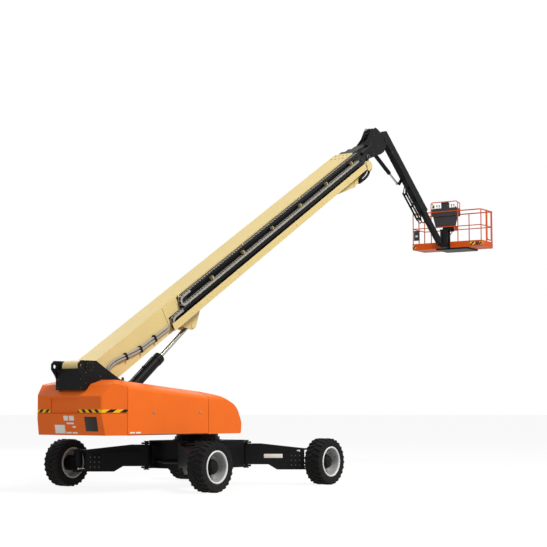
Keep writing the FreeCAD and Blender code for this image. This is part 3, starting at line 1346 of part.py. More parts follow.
def platform_rails():
    """Guard rails: posts, the rounded top rail, mid rails and the hoop over the controls."""
    inset = "(rail_radius + 2)"
    rear = f"(platform_setback + {inset})"
    front = f"(platform_setback + platform_depth - {inset})"
    right = f"(platform_side_shift - platform_width / 2 + {inset})"
    left = f"(platform_side_shift + platform_width / 2 - {inset})"
    gate_x = f"({front} - gate_width)"
    top = "platform_height - rail_radius"
    bottom = "floor_thickness - toe_thickness"
    spots = {"rear_right": (rear, right), "rear_left": (rear, left), "front_left": (front, left),
             "hoop_right": (rear, "hoop_shift - hoop_width / 2"),
             "hoop_left": (rear, "hoop_shift + hoop_width / 2"),
             "front_mid_right": (front, "platform_side_shift - platform_width / 6"),
             "front_mid_left": (front, "platform_side_shift + platform_width / 6"),
             "left_mid": (f"({rear} + {front}) / 2", left)}
    pieces = [post(f"post_{name}", x, y, bottom, top) for name, (x, y) in spots.items()]
    for name, x in (("gate", gate_x), ("hinge", front)):
        pieces.append(post(f"post_{name}", x, right, bottom, "platform_height + gate_gap",
                           "gate_post_radius"))
    bend = "rail_bend"
    route = [(gate_x, right, 0), (rear, right, bend), (rear, left, bend), (front, left, bend),
             (front, right, 0)]
    height = number(top)
    pieces.append(swept("top_rail", rounded_wire(route, lambda spot: Vector(spot.x, spot.y, height), False),
                        "rail_radius"))
    for name, start, length, along in (
            ("rear", (rear, right, "mid_rail_height"), f"{left} - {right}", "y"),
            ("front", (front, right, "mid_rail_height"), f"{left} - {right}", "y"),
            ("left", (rear, left, "mid_rail_height"), f"{front} - {rear}", "x"),
            ("right", (rear, right, "mid_rail_height"), f"{gate_x} - {rear}", "x")):
        pieces.append(cylinder(f"mid_rail_{name}", "mid_rail_radius", length, start, along))
    hoop = [("hoop_shift - hoop_width / 2", top, 0), ("hoop_shift - hoop_width / 2", "hoop_height", bend),
            ("hoop_shift + hoop_width / 2", "hoop_height", bend), ("hoop_shift + hoop_width / 2", top, 0)]
    pieces.append(swept("hoop", rounded_wire(hoop, lay_section(number(rear)), False), "mid_rail_radius"))
    return pieces


def platform():
    """Floor with toe boards, guard rails and the bracket over the rotator."""
    rear = "platform_setback"
    right = "platform_side_shift - platform_width / 2"
    outer = box("platform_tray", (rear, right, 0), ("platform_depth", "platform_width", "toe_height"))
    well = box("platform_well", (f"{rear} + toe_thickness", f"{right} + toe_thickness", "floor_thickness"),
               ("platform_depth - 2 * toe_thickness", "platform_width - 2 * toe_thickness", "toe_height"))
    pieces = [cut("platform_floor", outer, [well])] + platform_rails()
    pieces.append(box("console_plate", (f"{rear} + rail_radius + 2", "hoop_shift - hoop_width / 2",
                                        "console_bottom + console_gap"),
                      ("rail_radius + console_gap", "hoop_width", "console_height - 2 * console_gap")))
    over = "(rotator_height - rotator_drop + support_drop + platform_gap)"
    pieces.append(box("rotator_bracket", ("-bracket_reach", "-bracket_half_width", over),
                      ("platform_setback + bracket_reach", "2 * bracket_half_width", "bracket_thickness")))
    pieces.append(box("rotator_bracket_web",
                      ("platform_setback - bracket_thickness", "-bracket_half_width", 0),
                      ("bracket_thickness + toe_thickness", "2 * bracket_half_width",
                       f"{over} + bracket_thickness")))
    sub_part(fuse("platform_joined", pieces), "platform", "platform_frame")


def platform_skid():
    """Bearer plate under the platform's floor."""
    plate = box("skid_plate", (0, 0, 0), ("platform_depth", "skid_width", "skid_depth"))
    sub_part(plate, "platform_skid", "platform_frame",
             position=("platform_setback", "skid_shift - skid_width / 2", "-skid_depth"))


def platform_gate():
    """Side gate between the gate post and the hinge post."""
    inset = "(rail_radius + 2)"
    reach = "gate_post_radius + gate_gap + rail_radius"
    far = f"(platform_setback + platform_depth - {inset} - ({reach}))"
    near = f"(platform_setback + platform_depth - {inset} - gate_width + {reach})"
    across = f"(platform_side_shift - platform_width / 2 + {inset})"
    low = "toe_height + gate_bend"
    top = "platform_height - rail_radius"
    route = [(near, low, "gate_bend"), (far, low, "gate_bend"), (far, top, "gate_bend"),
             (near, top, "gate_bend")]
    ring = swept("gate_frame", rounded_wire(route, lay_side(number(across))), "rail_radius")
    mid = cylinder("gate_mid", "mid_rail_radius", f"{far} - {near}", (near, across, "mid_rail_height"), "x")
    sub_part(fuse("gate_joined", [ring, mid]), "platform_gate", "platform_frame")


def control_console():
    """Control box on the rear rail, with the tapered housing below it and the raised box on top."""
    x = "(platform_setback + 2 * rail_radius + 2 + console_gap)"
    chin = padded("console_chin_body", "YZ_Plane", [
        ("-console_chin_width / 2", "console_chin"), ("console_chin_width / 2", "console_chin"),
        ("console_width / 2", "console_bottom"), ("-console_width / 2", "console_bottom")],
        "console_chin_depth")
    place(chin, (f"{x} + console_chin_depth / 2", "hoop_shift", 0))
    pieces = [box("console_block", (x, "hoop_shift - console_width / 2", "console_bottom"),
                  ("console_depth", "console_width", "console_height")), chin,
              box("console_cap",
                  (x, "hoop_shift - console_cap_width / 2", "console_bottom + console_height"),
                  ("console_cap_depth", "console_cap_width", "console_cap_height"))]
    sub_part(fuse("console_joined", pieces), "control_console", "platform_frame")


def boom_hoses():
    """Hoses clamped to the base section's right side, from the turntable to the chain tray."""
    pieces = []
    for index in range(HOSE_COUNT):
        route = [point(along, f"{up} - {index} * hose_pitch", 0) for along, up in HOSE_ROUTE]
        across = number("-boom_width / 2 - hose_gap - hose_radius")
        pieces.append(swept(f"boom_hose_{index}", flowing_wire(route, lay_side(across)), "hose_radius"))
    for index, (along, up) in enumerate(HOSE_CLAMPS):
        low = f"{up} - {HOSE_COUNT - 1} * hose_pitch - hose_clamp"
        pieces.append(box(f"hose_clamp_{index}",
                          (f"{along} - hose_clamp / 2",
                           "-boom_width / 2 - hose_gap - 2 * hose_radius - hose_gap",
                           low),
                          ("hose_clamp", "2 * (hose_radius + hose_gap)", f"{up} + hose_clamp - ({low})")))
    sub_part(fuse("boom_hoses_joined", pieces), "boom_hoses", "boom_frame")


# ---------------------------------------------------------------- assembly and export

def build():
    """Make every sub-part."""
    fill_sheet()
    make_frames()
    chassis_frame()
    for corner, (ahead, left) in CORNERS.items():
        axle_beam(corner, ahead, left)
        steer_rod(corner, ahead, left)
        knuckle(corner, ahead, left)
        tyre(corner, ahead, left)
        wheel_rim(corner, ahead, left)
    turntable_frame()
    mast_plates()
    mast_links()
    counterweight()
    hoods()
    front_cowl()
    engine_block()
    boom_base()
    boom_sections()
    boom_head()
    chain_tray()
    energy_chain("energy_chain_upper", "upper_chain_centre", "upper_chain_top", "upper_chain_bottom")
    energy_chain("energy_chain_lower", "lower_chain_centre", "lower_chain_top", "lower_chain_bottom")
    boom_hoses()
    lift_cylinder()
    jib_cylinder()
    jib_base()
    jib_fly()
    jib_hose_carrier()
    platform_support()
    platform()
    platform_skid()
    platform_gate()
    control_console()
    doc.recompute()


def check():
    """Stop if any object failed or any sub-part's shape is missing or faulty."""
    for item in doc.Objects:
        if any(word in item.State for word in ("Invalid", "Error")):
            raise RuntimeError(f"{item.Name} failed: {item.State}")
    for piece in sub_parts:
        if piece.Shape.isNull() or not piece.Shape.isValid():
            raise RuntimeError(f"{piece.Label} has no valid shape")
        if len(piece.Shape.Solids) != 1:
            raise RuntimeError(f"{piece.Label} has {len(piece.Shape.Solids)} solids")


def export():
    """Write one STEP file for each sub-part."""
    os.makedirs(OUTPUT_FOLDER, exist_ok=True)
    for piece in sub_parts:
        piece.Shape.exportStep(os.path.join(OUTPUT_FOLDER, f"{piece.Label}.step"))


build()
check()
export()
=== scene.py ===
"""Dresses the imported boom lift: camera, light, materials, tyres, rims, chains, hoses and fittings.

Every piece is drawn in metres in the frame of the CAD part that carries it.
"""
import json
import math

import bmesh
import bpy
from mathutils import Matrix, Vector


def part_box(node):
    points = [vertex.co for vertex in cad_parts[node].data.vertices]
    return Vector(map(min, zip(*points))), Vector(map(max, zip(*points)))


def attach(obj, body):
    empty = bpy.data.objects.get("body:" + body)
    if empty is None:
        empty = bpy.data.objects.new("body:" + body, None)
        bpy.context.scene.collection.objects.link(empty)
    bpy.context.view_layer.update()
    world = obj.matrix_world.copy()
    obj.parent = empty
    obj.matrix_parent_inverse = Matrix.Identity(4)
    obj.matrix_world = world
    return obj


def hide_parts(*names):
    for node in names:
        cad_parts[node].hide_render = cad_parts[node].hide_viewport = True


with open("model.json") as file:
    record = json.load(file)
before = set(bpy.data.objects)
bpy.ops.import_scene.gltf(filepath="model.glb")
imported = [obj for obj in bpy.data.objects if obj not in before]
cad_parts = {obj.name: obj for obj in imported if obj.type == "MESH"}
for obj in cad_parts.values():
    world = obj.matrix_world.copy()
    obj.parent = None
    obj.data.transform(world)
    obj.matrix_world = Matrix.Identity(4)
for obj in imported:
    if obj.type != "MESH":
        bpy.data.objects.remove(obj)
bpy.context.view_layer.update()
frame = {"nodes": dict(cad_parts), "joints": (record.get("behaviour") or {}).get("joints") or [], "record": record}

CORNERS = {"front_left": (1, 1), "front_right": (1, -1), "rear_left": (-1, 1), "rear_right": (-1, -1)}
ACROSS = Vector((0, 1, 0))
PLATFORM_YAW = math.radians(5.7)
CHAINS = {"upper": (3.64, -0.098, -0.37), "lower": (3.15, -0.392, -0.67)}  # loop's middle, top and bottom
BASE_END = 12.42  # along the boom, where the base section's front end begins
BASE_SIDE = 0.305  # half the base section's width
JOINTS = {joint["name"]: joint for joint in frame["joints"]}


# -------------------- frames

def spot(joint):
    """Where a joint sits at rest."""
    return Vector(JOINTS[joint]["pos_m"])


def side_frame(origin, along):
    """Frame whose x runs along a direction in the upright plane, with y to the left."""
    along = Vector(along).normalized()
    frame_matrix = Matrix((along, ACROSS, along.cross(ACROSS))).transposed().to_4x4()
    frame_matrix.translation = origin
    return frame_matrix


def flat_frame(origin, heading):
    """Frame on the ground's level, turned about the upright axis."""
    return Matrix.Translation(origin) @ Matrix.Rotation(heading, 4, "Z")


MACHINE = Matrix.Translation((spot("turntable_slew").x, 0, 0))
BOOM = side_frame(spot("boom_lift"), JOINTS["telescope_outer_mid"]["axis"])
JIB = side_frame(spot("jib_swing"), JOINTS["jib_telescope"]["axis"])
LIFT = side_frame(spot("lift_barrel_swing"), JOINTS["lift_rod_slide"]["axis"])
PLATFORM = flat_frame(spot("platform_rotate"), PLATFORM_YAW)


def beam_frame(corner):
    """Frame at a beam's pivot, with x towards its wheel."""
    pivot = spot(f"axle_swing_{corner}")
    run = spot(f"steer_{corner}") - pivot
    return flat_frame((pivot.x, pivot.y, 0), math.atan2(run.y, run.x)), run.xy.length


# -------------------- camera, light and floor

EYE, LENS = (-31.461, -23.11, 1.87), 93.4
PITCH, HEADING = 5.48, 37.42  # degrees up, and left of straight ahead
LAMPS = {  # place, aim, power, size and colour
    "key": ((-5, -23, 30), (-3, 0, 3), 11500, 9, (1, 0.99, 0.96)),
    "fill_rear": ((-34, -4, 14), (-4, 0, 3), 1100, 12, (0.95, 0.97, 1)),
    "fill_left": ((6, 30, 16), (-3, 0, 3), 3000, 14, (1, 1, 1)),
}
WORLD_LIGHT = 0.44
FLOOR_GLOW = 0.9  # share of the floor that shows plain white to the camera


def camera():
    """Camera at the photographed angle."""
    data = bpy.data.cameras.new("camera")
    data.lens = LENS
    data.sensor_width = 36
    data.clip_end = 500
    eye = bpy.data.objects.new("camera", data)
    eye.location = EYE
    eye.rotation_euler = (math.radians(90 + PITCH), 0, math.radians(HEADING - 90))
    bpy.context.scene.collection.objects.link(eye)
    bpy.context.scene.camera = eye


def lamp(name, place, aim, power, size, colour):
    """Soft square lamp that points at a spot."""
    data = bpy.data.lights.new(name, "AREA")
    data.energy = power
    data.size = size
    data.color = colour
    light = bpy.data.objects.new(name, data)
    light.location = place
    light.rotation_euler = (Vector(aim) - Vector(place)).to_track_quat("-Z", "Y").to_euler()
    bpy.context.scene.collection.objects.link(light)


def studio():
    """Pale floor and world, with a key lamp high on the right and two weak fills."""
    scene = bpy.context.scene
    scene.view_settings.view_transform = "Standard"
    world = bpy.data.worlds.new("world")
    scene.world = world
    world.use_nodes = True
    tree = world.node_tree
    tree.nodes.clear()
    seen = add(tree, "Background", {"Color": (1, 1, 1, 1), "Strength": 1.0})
    lit = add(tree, "Background", {"Color": (0.95, 0.97, 1, 1), "Strength": WORLD_LIGHT})
    mixed = add(tree, "MixShader", {0: white_rays(tree), 1: lit.outputs[0], 2: seen.outputs[0]})
    out = tree.nodes.new("ShaderNodeOutputWorld")
    tree.links.new(mixed.outputs[0], out.inputs[0])
    for name, settings in LAMPS.items():
        lamp(name, *settings)
    floor = bpy.data.meshes.new("floor")
    disc = bmesh.new()
    bmesh.ops.create_circle(disc, cap_ends=True, segments=96, radius=600)
    disc.to_mesh(floor)
    disc.free()
    ground = bpy.data.objects.new("floor", floor)
    ground.location.z = -0.002
    scene.collection.objects.link(ground)
    ground.data.materials.append(floor_material())


def white_rays(tree):
    """One for rays from the camera, and for reflected and transmitted ones."""
    rays = tree.nodes.new("ShaderNodeLightPath")
    either = add(tree, "Math", {0: rays.outputs["Is Camera Ray"], 1: rays.outputs["Is Glossy Ray"]},
                 operation="MAXIMUM")
    return add(tree, "Math", {0: either.outputs[0], 1: rays.outputs["Is Transmission Ray"]},
               operation="MAXIMUM").outputs[0]


def floor_material():
    """Matt white floor that stays white to the camera away from the object's shadow."""
    material = bpy.data.materials.new("floor_white")
    material.use_nodes = True
    tree = material.node_tree
    tree.nodes.clear()
    seen = tree.nodes.new("ShaderNodeLightPath").outputs["Is Camera Ray"]
    colour = blend_colours(tree, seen, (0.5, 0.5, 0.5, 1), (0.95, 0.95, 0.95, 1))
    matt = add(tree, "BsdfDiffuse", {"Color": colour})
    glow = add(tree, "Emission", {"Color": (1, 1, 1, 1), "Strength": 1.0})
    share = maths(tree, "MULTIPLY", white_rays(tree), FLOOR_GLOW)
    mixed = add(tree, "MixShader", {0: share, 1: matt.outputs[0], 2: glow.outputs[0]})
    out = tree.nodes.new("ShaderNodeOutputMaterial")
    tree.links.new(mixed.outputs[0], out.inputs[0])
    return material


# -------------------- materials

def add(tree, kind, values=None, **settings):
    """New shader node, with its settings and its inputs given as numbers or sockets."""
    node = tree.nodes.new("ShaderNode" + kind)
    for key, value in settings.items():
        setattr(node, key, value)
    for key, value in (values or {}).items():
        if isinstance(value, bpy.types.NodeSocket):
            tree.links.new(value, node.inputs[key])
        else:
            node.inputs[key].default_value = value
    return node


def maths(tree, operation, first, second=0.0):
    """Result of one sum."""
    return add(tree, "Math", {0: first, 1: second}, operation=operation).outputs[0]


def tone(red, green, blue):
    """Colour given as it shows on a screen, in 255ths."""
    linear = [((part / 255 + 0.055) / 1.055) ** 2.4 if part > 10 else part / 255 / 12.92
              for part in (red, green, blue)]
    return (*linear, 1)


def shaded(colour, share):
    """The same colour, lighter or darker."""
    return (*[min(1, part * share) for part in colour[:3]], 1)


def blend_colours(tree, share, first, second):
    """Mix of two colours."""
    mix = add(tree, "Mix", {0: share, 6: first, 7: second}, data_type="RGBA")
    return mix.outputs[2]


def ramp(tree, value, low, high, start=0.0, end=1.0):
    """Value brought from one range to another, held at its ends."""
    return add(tree, "MapRange", {0: value, 1: low, 2: high, 3: start, 4: end}).outputs[0]


def over(tree, value, edge):
    """One above an edge and zero below it."""
    return maths(tree, "GREATER_THAN", value, edge)


def under(tree, value, edge):
    """One below an edge and zero above it."""
    return maths(tree, "LESS_THAN", value, edge)


def every(tree, first, *others):
    """One only where all the given masks are one."""
    for other in others:
        first = maths(tree, "MULTIPLY", first, other)
    return first


def between(tree, value, low, high):
    """One between two edges and zero outside them."""
    return every(tree, over(tree, value, low), under(tree, value, high))


def worn_edges(tree, radius):
    """High along outer edges: how far a rounded normal leaves the face's own."""
    rounded = add(tree, "Bevel", {"Radius": radius}, samples=4)
    own = tree.nodes.new("ShaderNodeNewGeometry")
    same = add(tree, "VectorMath", {0: rounded.outputs[0], 1: own.outputs["Normal"]}, operation="DOT_PRODUCT")
    return ramp(tree, same.outputs["Value"], 0.98, 0.80), rounded.outputs[0]


def surface(name, colour, rough, metal=0.0, spread=0.05, dust=0.0, wear=0.0, coat=0.0, grain=(300, 0.04),
            second=None, gloss=0.2):
    """Painted, moulded or metal finish with mottling, dust near the ground, worn edges and fine bump."""
    material = bpy.data.materials.new(name)
    material.use_nodes = True
    tree = material.node_tree
    skin = tree.nodes["Principled BSDF"]
    place = tree.nodes.new("ShaderNodeTexCoord").outputs["Object"]
    broad = add(tree, "TexNoise", {"Vector": place, "Scale": 1.3, "Detail": 6, "Roughness": 0.6}).outputs[0]
    fine = add(tree, "TexNoise", {"Vector": place, "Scale": 14, "Detail": 5, "Roughness": 0.65}).outputs[0]
    darker, lighter = shaded(colour, 1 - spread), shaded(colour, 1 + spread)
    paint = blend_colours(tree, ramp(tree, broad, 0.3, 0.7), darker, lighter)
    if second:
        paint = second(tree, place, paint)
    normal = None
    if wear:
        edge, normal = worn_edges(tree, 0.006)
        broken = maths(tree, "MULTIPLY", edge, ramp(tree, fine, 0.42, 0.62, 0, wear))
        paint = blend_colours(tree, broken, paint, tone(150, 146, 140))
    if dust:
        height = add(tree, "SeparateXYZ", {0: place}).outputs["Z"]
        low = ramp(tree, height, 0.0, 0.9, dust, 0)
        paint = blend_colours(tree, maths(tree, "MULTIPLY", low, ramp(tree, fine, 0.4, 0.75)), paint,
                              tone(128, 118, 102))
    tree.links.new(paint, skin.inputs["Base Color"])
    tree.links.new(ramp(tree, fine, 0.3, 0.7, rough - 0.05, rough + 0.07), skin.inputs["Roughness"])
    skin.inputs["Metallic"].default_value = metal
    skin.inputs["Coat Weight"].default_value = coat
    skin.inputs["Coat Roughness"].default_value = 0.12
    skin.inputs["Specular IOR Level"].default_value = gloss
    scale, strength = grain
    relief = add(tree, "TexNoise", {"Vector": place, "Scale": scale, "Detail": 3}).outputs[0]
    bump = add(tree, "Bump", {"Strength": strength, "Distance": 0.01, "Height": relief})
    if normal:
        tree.links.new(normal, bump.inputs["Normal"])
    tree.links.new(bump.outputs[0], skin.inputs["Normal"])
    return material


def reach_along(tree, place, frame_matrix, axis):
    """How far a point lies along one axis of a frame."""
    direction = frame_matrix.to_3x3().col[axis]
    origin = frame_matrix.translation
    offset = add(tree, "VectorMath", {0: place, 1: origin}, operation="SUBTRACT").outputs[0]
    return add(tree, "VectorMath", {0: offset, 1: direction}, operation="DOT_PRODUCT").outputs["Value"]


def stripes(tree, run, pitch=0.2):
    """Even slanted stripes across a run."""
    phase = maths(tree, "FRACT", maths(tree, "DIVIDE", run, pitch))
    return blend_colours(tree, over(tree, phase, 0.5), tone(24, 24, 24), tone(236, 190, 30))


TAIL_BAND, TAIL_LINE = (1.805, 1.875), (1.785, 1.795)  # heights of the band and of the line below it
TAIL_PANEL, TAIL_PANEL_DEPTH = (-0.29, 0.59), 0.06


def tail_band(tree, place, paint):
    """Hazard band round the tail, broken by the recessed panel, with a dark line below it."""
    x, y, z = add(tree, "SeparateXYZ", {0: place}).outputs
    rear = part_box("counterweight")[0].x
    run = maths(tree, "SUBTRACT", maths(tree, "SUBTRACT", x, maths(tree, "ABSOLUTE", y)), z)
    panel = every(tree, between(tree, y, *TAIL_PANEL), under(tree, x, rear + TAIL_PANEL_DEPTH))
    band = every(tree, between(tree, z, *TAIL_BAND), maths(tree, "SUBTRACT", 1.0, panel))
    paint = blend_colours(tree, between(tree, z, *TAIL_LINE), paint, tone(120, 50, 20))
    return blend_colours(tree, band, paint, stripes(tree, run))


def toe_marks(tree, place, paint):
    """Hazard stripes on a small plate, in place of its paint."""
    x, y, z = add(tree, "SeparateXYZ", {0: place}).outputs
    return stripes(tree, maths(tree, "ADD", maths(tree, "ADD", x, y), z), pitch=0.13)


def painted_shade_in_tray(tree, place, paint):
    """Painted shade: the tray's web and floor are darkened where the chains run in front of them; its lip and
    underside keep the boom's colour.
    """
    across = add(tree, "SeparateXYZ", {0: place}).outputs["Y"]
    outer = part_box("energy_chain_tray")[0].y
    run, rise = (reach_along(tree, place, BOOM, axis) for axis in (0, 2))
    lower, upper = (CHAINS[name][0] - 0.12 for name in ("lower", "upper"))
    loops = blend_steps(tree, rise, -0.385, lower, upper)
    inside = every(tree, over(tree, across, outer + 0.004), over(tree, rise, -0.696), over(tree, run, loops))
    # Near-black painted shade in the tray's recess behind the chains.
    return blend_colours(tree, inside, paint, tone(40, 39, 38))


def blend_steps(tree, value, edge, below, above):
    """One number below an edge and another above it."""
    return maths(tree, "ADD", maths(tree, "MULTIPLY", over(tree, value, edge), above - below), below)


def console_panel(tree, place, paint):
    """The panel behind the controls has their grey, and the bracket behind the platform is black."""
    run, across = (reach_along(tree, place, PLATFORM, axis) for axis in (0, 1))
    height = add(tree, "SeparateXYZ", {0: place}).outputs["Z"]
    deck = PLATFORM.translation.z
    shift = maths(tree, "ABSOLUTE", maths(tree, "SUBTRACT", across, console_middle()))
    inside = every(tree, under(tree, shift, 0.449), between(tree, run, 0.232, 0.30),
                   between(tree, height, deck + 1.053, deck + 1.302))
    paint = blend_colours(tree, under(tree, run, 0.2155), paint, tone(30, 30, 31))
    return blend_colours(tree, inside, paint, tone(66, 63, 66))


def console_middle():
    """How far the controls stand to the left on the platform."""
    low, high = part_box("control_console")
    return (PLATFORM.inverted() @ ((Vector(low) + Vector(high)) / 2)).y


def dark_bracket(tree, place, paint):
    """The hanging bracket's front end, under the base section, is black."""
    run, rise = (reach_along(tree, place, BOOM, axis) for axis in (0, 2))
    across = maths(tree, "ABSOLUTE", add(tree, "SeparateXYZ", {0: place}).outputs["Y"])
    inside = every(tree, over(tree, run, BASE_END), under(tree, rise, -0.80), under(tree, across, 0.5))
    return blend_colours(tree, inside, paint, tone(24, 24, 25))


def dark_front(tree, place, paint):
    """The sections' front ends, which show at rest, are black."""
    run = reach_along(tree, place, BOOM, 0)
    return blend_colours(tree, over(tree, run, BASE_END), paint, tone(30, 30, 30))


ORANGE, CREAM, BLACK = tone(240, 110, 30), tone(214, 192, 132), tone(19, 19, 20)
LOOKS = {  # colour, roughness and settings
    "orange_shell": (ORANGE, 0.34, dict(spread=0.03, coat=0.03, grain=(500, 0.02), gloss=0.12)),
    "orange_paint": (tone(208, 84, 26), 0.4, dict(spread=0.05, wear=0.12, gloss=0.08)),
    "cast_weight": (tone(232, 106, 34), 0.4, dict(spread=0.04, grain=(160, 0.05), second=tail_band,
                                                  gloss=0.12)),
    "platform_paint": (tone(208, 84, 26), 0.4, dict(spread=0.05, second=console_panel, gloss=0.08)),
    "cream_paint": (CREAM, 0.44, dict(spread=0.035, second=dark_bracket)),
    # The tray's finish carries painted shade on its web and floor behind the chains.
    "tray_paint_and_shade": (CREAM, 0.45, dict(spread=0.035, second=painted_shade_in_tray)),
    "section_paint": (CREAM, 0.42, dict(spread=0.035, second=dark_front)),
    "black_paint": (BLACK, 0.44, dict(spread=0.12, dust=0.08, wear=0.12, gloss=0.09)),
    "grey_paint": (tone(84, 86, 88), 0.5, dict(spread=0.08, dust=0.15)),
    "rim_paint": (tone(168, 168, 167), 0.4, dict(metal=0.2, spread=0.06, dust=0.1, gloss=0.4)),
    "rim_lip": (tone(228, 228, 226), 0.32, dict(metal=0.2, spread=0.03, gloss=0.4)),
    "tyre_rubber": (tone(27, 27, 28), 0.8, dict(spread=0.14, dust=0.12, grain=(90, 0.25), gloss=0.1)),
    "chrome": (tone(166, 164, 158), 0.2, dict(metal=1.0, spread=0.03, grain=(700, 0.01))),
    "steel": (tone(150, 150, 150), 0.35, dict(metal=0.9, spread=0.06)),
    "chain_plastic": (tone(156, 151, 143), 0.55, dict(spread=0.1)),
    "hose_rubber": (tone(26, 26, 27), 0.6, dict(spread=0.1, grain=(240, 0.12), gloss=0.12)),
    "console_plastic": (tone(58, 56, 59), 0.6, dict(spread=0.06, grain=(420, 0.12))),
    "plate_white": (tone(230, 224, 216), 0.4, dict(spread=0.03)),
    "plate_dark": (tone(44, 36, 28), 0.45, dict(spread=0.3)),
    "hazard": (tone(236, 190, 30), 0.4, dict(second=toe_marks)),
    "bolt_zinc": (tone(84, 83, 80), 0.45, dict(metal=0.7, spread=0.1)),
    "stop_red": (tone(190, 24, 20), 0.35, dict(coat=0.2)),
    "grating": (tone(112, 112, 110), 0.5, dict(metal=0.6, spread=0.08)),
}
FINISHES = {name: surface(name, colour, rough, **settings)
            for name, (colour, rough, settings) in LOOKS.items()}
NODE_FINISH = {"energy_chain_tray": "tray_paint_and_shade", "boom_outer_mid": "section_paint",
               "boom_inner_mid": "section_paint", "boom_fly": "section_paint", "platform": "platform_paint"}
SLOTS = {part["node"]: part["material_slot"] for part in frame["record"]["subparts"]}


def dress_nodes():
    """Give every carried-over CAD node its procedural finish."""
    for name, node in frame["nodes"].items():
        finish = FINISHES[NODE_FINISH.get(name, SLOTS[name])]
        for slot in node.material_slots:
            slot.material = finish


# -------------------- mesh tools

def block(mesh, low, high, place=Matrix(), bevel=0.004):
    """Block between two corners, with its edges taken off."""
    low, high = Vector(low), Vector(high)
    size = high - low
    fit = place @ Matrix.Translation((low + high) / 2) @ Matrix.Diagonal((*size, 1))
    made = bmesh.ops.create_cube(mesh, size=1, matrix=fit)["verts"]
    soften(mesh, made, min(bevel, min(size) * 0.3))


def soften(mesh, verts, bevel):
    """Take the edges off a new solid."""
    edges = list(dict.fromkeys(edge for vert in verts for edge in vert.link_edges))
    bmesh.ops.bevel(mesh, geom=edges, offset=bevel, segments=2, affect="EDGES", profile=0.5)


def round_spots(count, reach, first=0.0):
    """Even spots on a circle, as pairs; the first stands a share of a step round."""
    return [(reach * math.cos(turn), reach * math.sin(turn))
            for turn in (math.tau * (step + first) / count for step in range(count))]


def bridge(mesh, rings):
    """Faces between rings of equally many points, with both ends closed."""
    for first, second in zip(rings, rings[1:]):
        for step in range(len(first)):
            after = (step + 1) % len(first)
            mesh.faces.new((first[step], first[after], second[after], second[step]))
    mesh.faces.new(rings[0])
    mesh.faces.new(rings[-1])


def lathe(mesh, profile, place=Matrix(), sides=32, closed=False):
    """Solid of revolution about x, from (along, radius) pairs."""
    rings = []
    for along, radius in profile:
        if radius < 1e-6:
            rings.append([mesh.verts.new(place @ Vector((along, 0, 0)))])
            continue
        rings.append([mesh.verts.new(place @ Vector((along, y, z))) for y, z in round_spots(sides, radius)])
    pairs = list(zip(rings, rings[1:])) + ([(rings[-1], rings[0])] if closed else [])
    for first, second in pairs:
        for step in range(sides):
            after = (step + 1) % sides
            corners = [first[step % len(first)], first[after % len(first)],
                       second[after % len(second)], second[step % len(second)]]
            corners = list(dict.fromkeys(corners))
            if len(corners) > 2:
                mesh.faces.new(corners)


def rod(mesh, start, end, radius, place=Matrix(), sides=14, chamfer=0.15):
    """Round bar between two points, with chamfered ends."""
    start, end = Vector(start), Vector(end)
    run = end - start
    turn = run.to_track_quat("X", "Z").to_matrix().to_4x4()
    cut = min(radius * chamfer, run.length / 3)
    lathe(mesh, [(0, 0), (0, radius - cut), (cut, radius), (run.length - cut, radius),
                 (run.length, radius - cut), (run.length, 0)],
          place @ Matrix.Translation(start) @ turn, sides)


def bolt(mesh, centre, direction, place=Matrix(), radius=0.014, height=0.012):
    """Hexagon head on a washer."""
    turn = Vector(direction).to_track_quat("X", "Z").to_matrix().to_4x4()
    seat = place @ Matrix.Translation(centre) @ turn
    lathe(mesh, [(0, 0), (0, radius * 1.5), (height * 0.25, radius * 1.5), (height * 0.25, 0)], seat, 16)
    lathe(mesh, [(height * 0.2, 0), (height * 0.2, radius), (height * 0.85, radius), (height, radius * 0.85),
                 (height, 0)], seat, 6)


def route(points):
    """Points along a smooth line that the given points control."""
    data = bpy.data.curves.new("route", "CURVE")
    data.dimensions = "3D"
    data.resolution_u = 10
    spline = data.splines.new("NURBS")
    spline.points.add(len(points) - 1)
    for point, given in zip(spline.points, points):
        point.co = (*given, 1)
    spline.order_u = 3
    spline.use_endpoint_u = True
    holder = bpy.data.objects.new("route", data)
    traced = bpy.data.meshes.new_from_object(holder)
    line = [vert.co.copy() for vert in traced.vertices]
    bpy.data.objects.remove(holder)
    bpy.data.meshes.remove(traced)
    bpy.data.curves.remove(data)
    return line


def even_steps(line, pitch):
    """Points at an even pitch along a line."""
    spots = [line[0].copy()]
    left = pitch
    for first, second in zip(line, line[1:]):
        run = second - first
        done = 0.0
        while run.length - done >= left:
            done += left
            spots.append(first + run.normalized() * done)
            left = pitch
        left -= run.length - done
    return spots


def tube(mesh, line, radius, place=Matrix(), sides=10, ribs=0.0):
    """Tube along a line; ribs give it a corrugated wall."""
    line = [place @ Vector(point) for point in line]
    rings = []
    side = None
    for index, point in enumerate(line):
        ahead = (line[min(index + 1, len(line) - 1)] - line[max(index - 1, 0)]).normalized()
        side = ahead.orthogonal() if side is None else side - ahead * side.dot(ahead)
        side = side.normalized()
        other = ahead.cross(side)
        reach = radius * (1 - ribs * (index % 2))
        rings.append([mesh.verts.new(point + (side * a + other * b) * reach)
                      for a, b in round_spots(sides, 1)])
    bridge(mesh, rings)


def plate(mesh, outline, thickness, place=Matrix(), bevel=0.003):
    """Flat plate from an outline in x and z, with its thickness along y."""
    near = [mesh.verts.new(place @ Vector((x, -thickness / 2, z))) for x, z in outline]
    far = [mesh.verts.new(place @ Vector((x, thickness / 2, z))) for x, z in outline]
    mesh.faces.new(near)
    mesh.faces.new(far)
    for step in range(len(outline)):
        after = (step + 1) % len(outline)
        mesh.faces.new((near[step], near[after], far[after], far[step]))
    if bevel:
        soften(mesh, near + far, bevel)


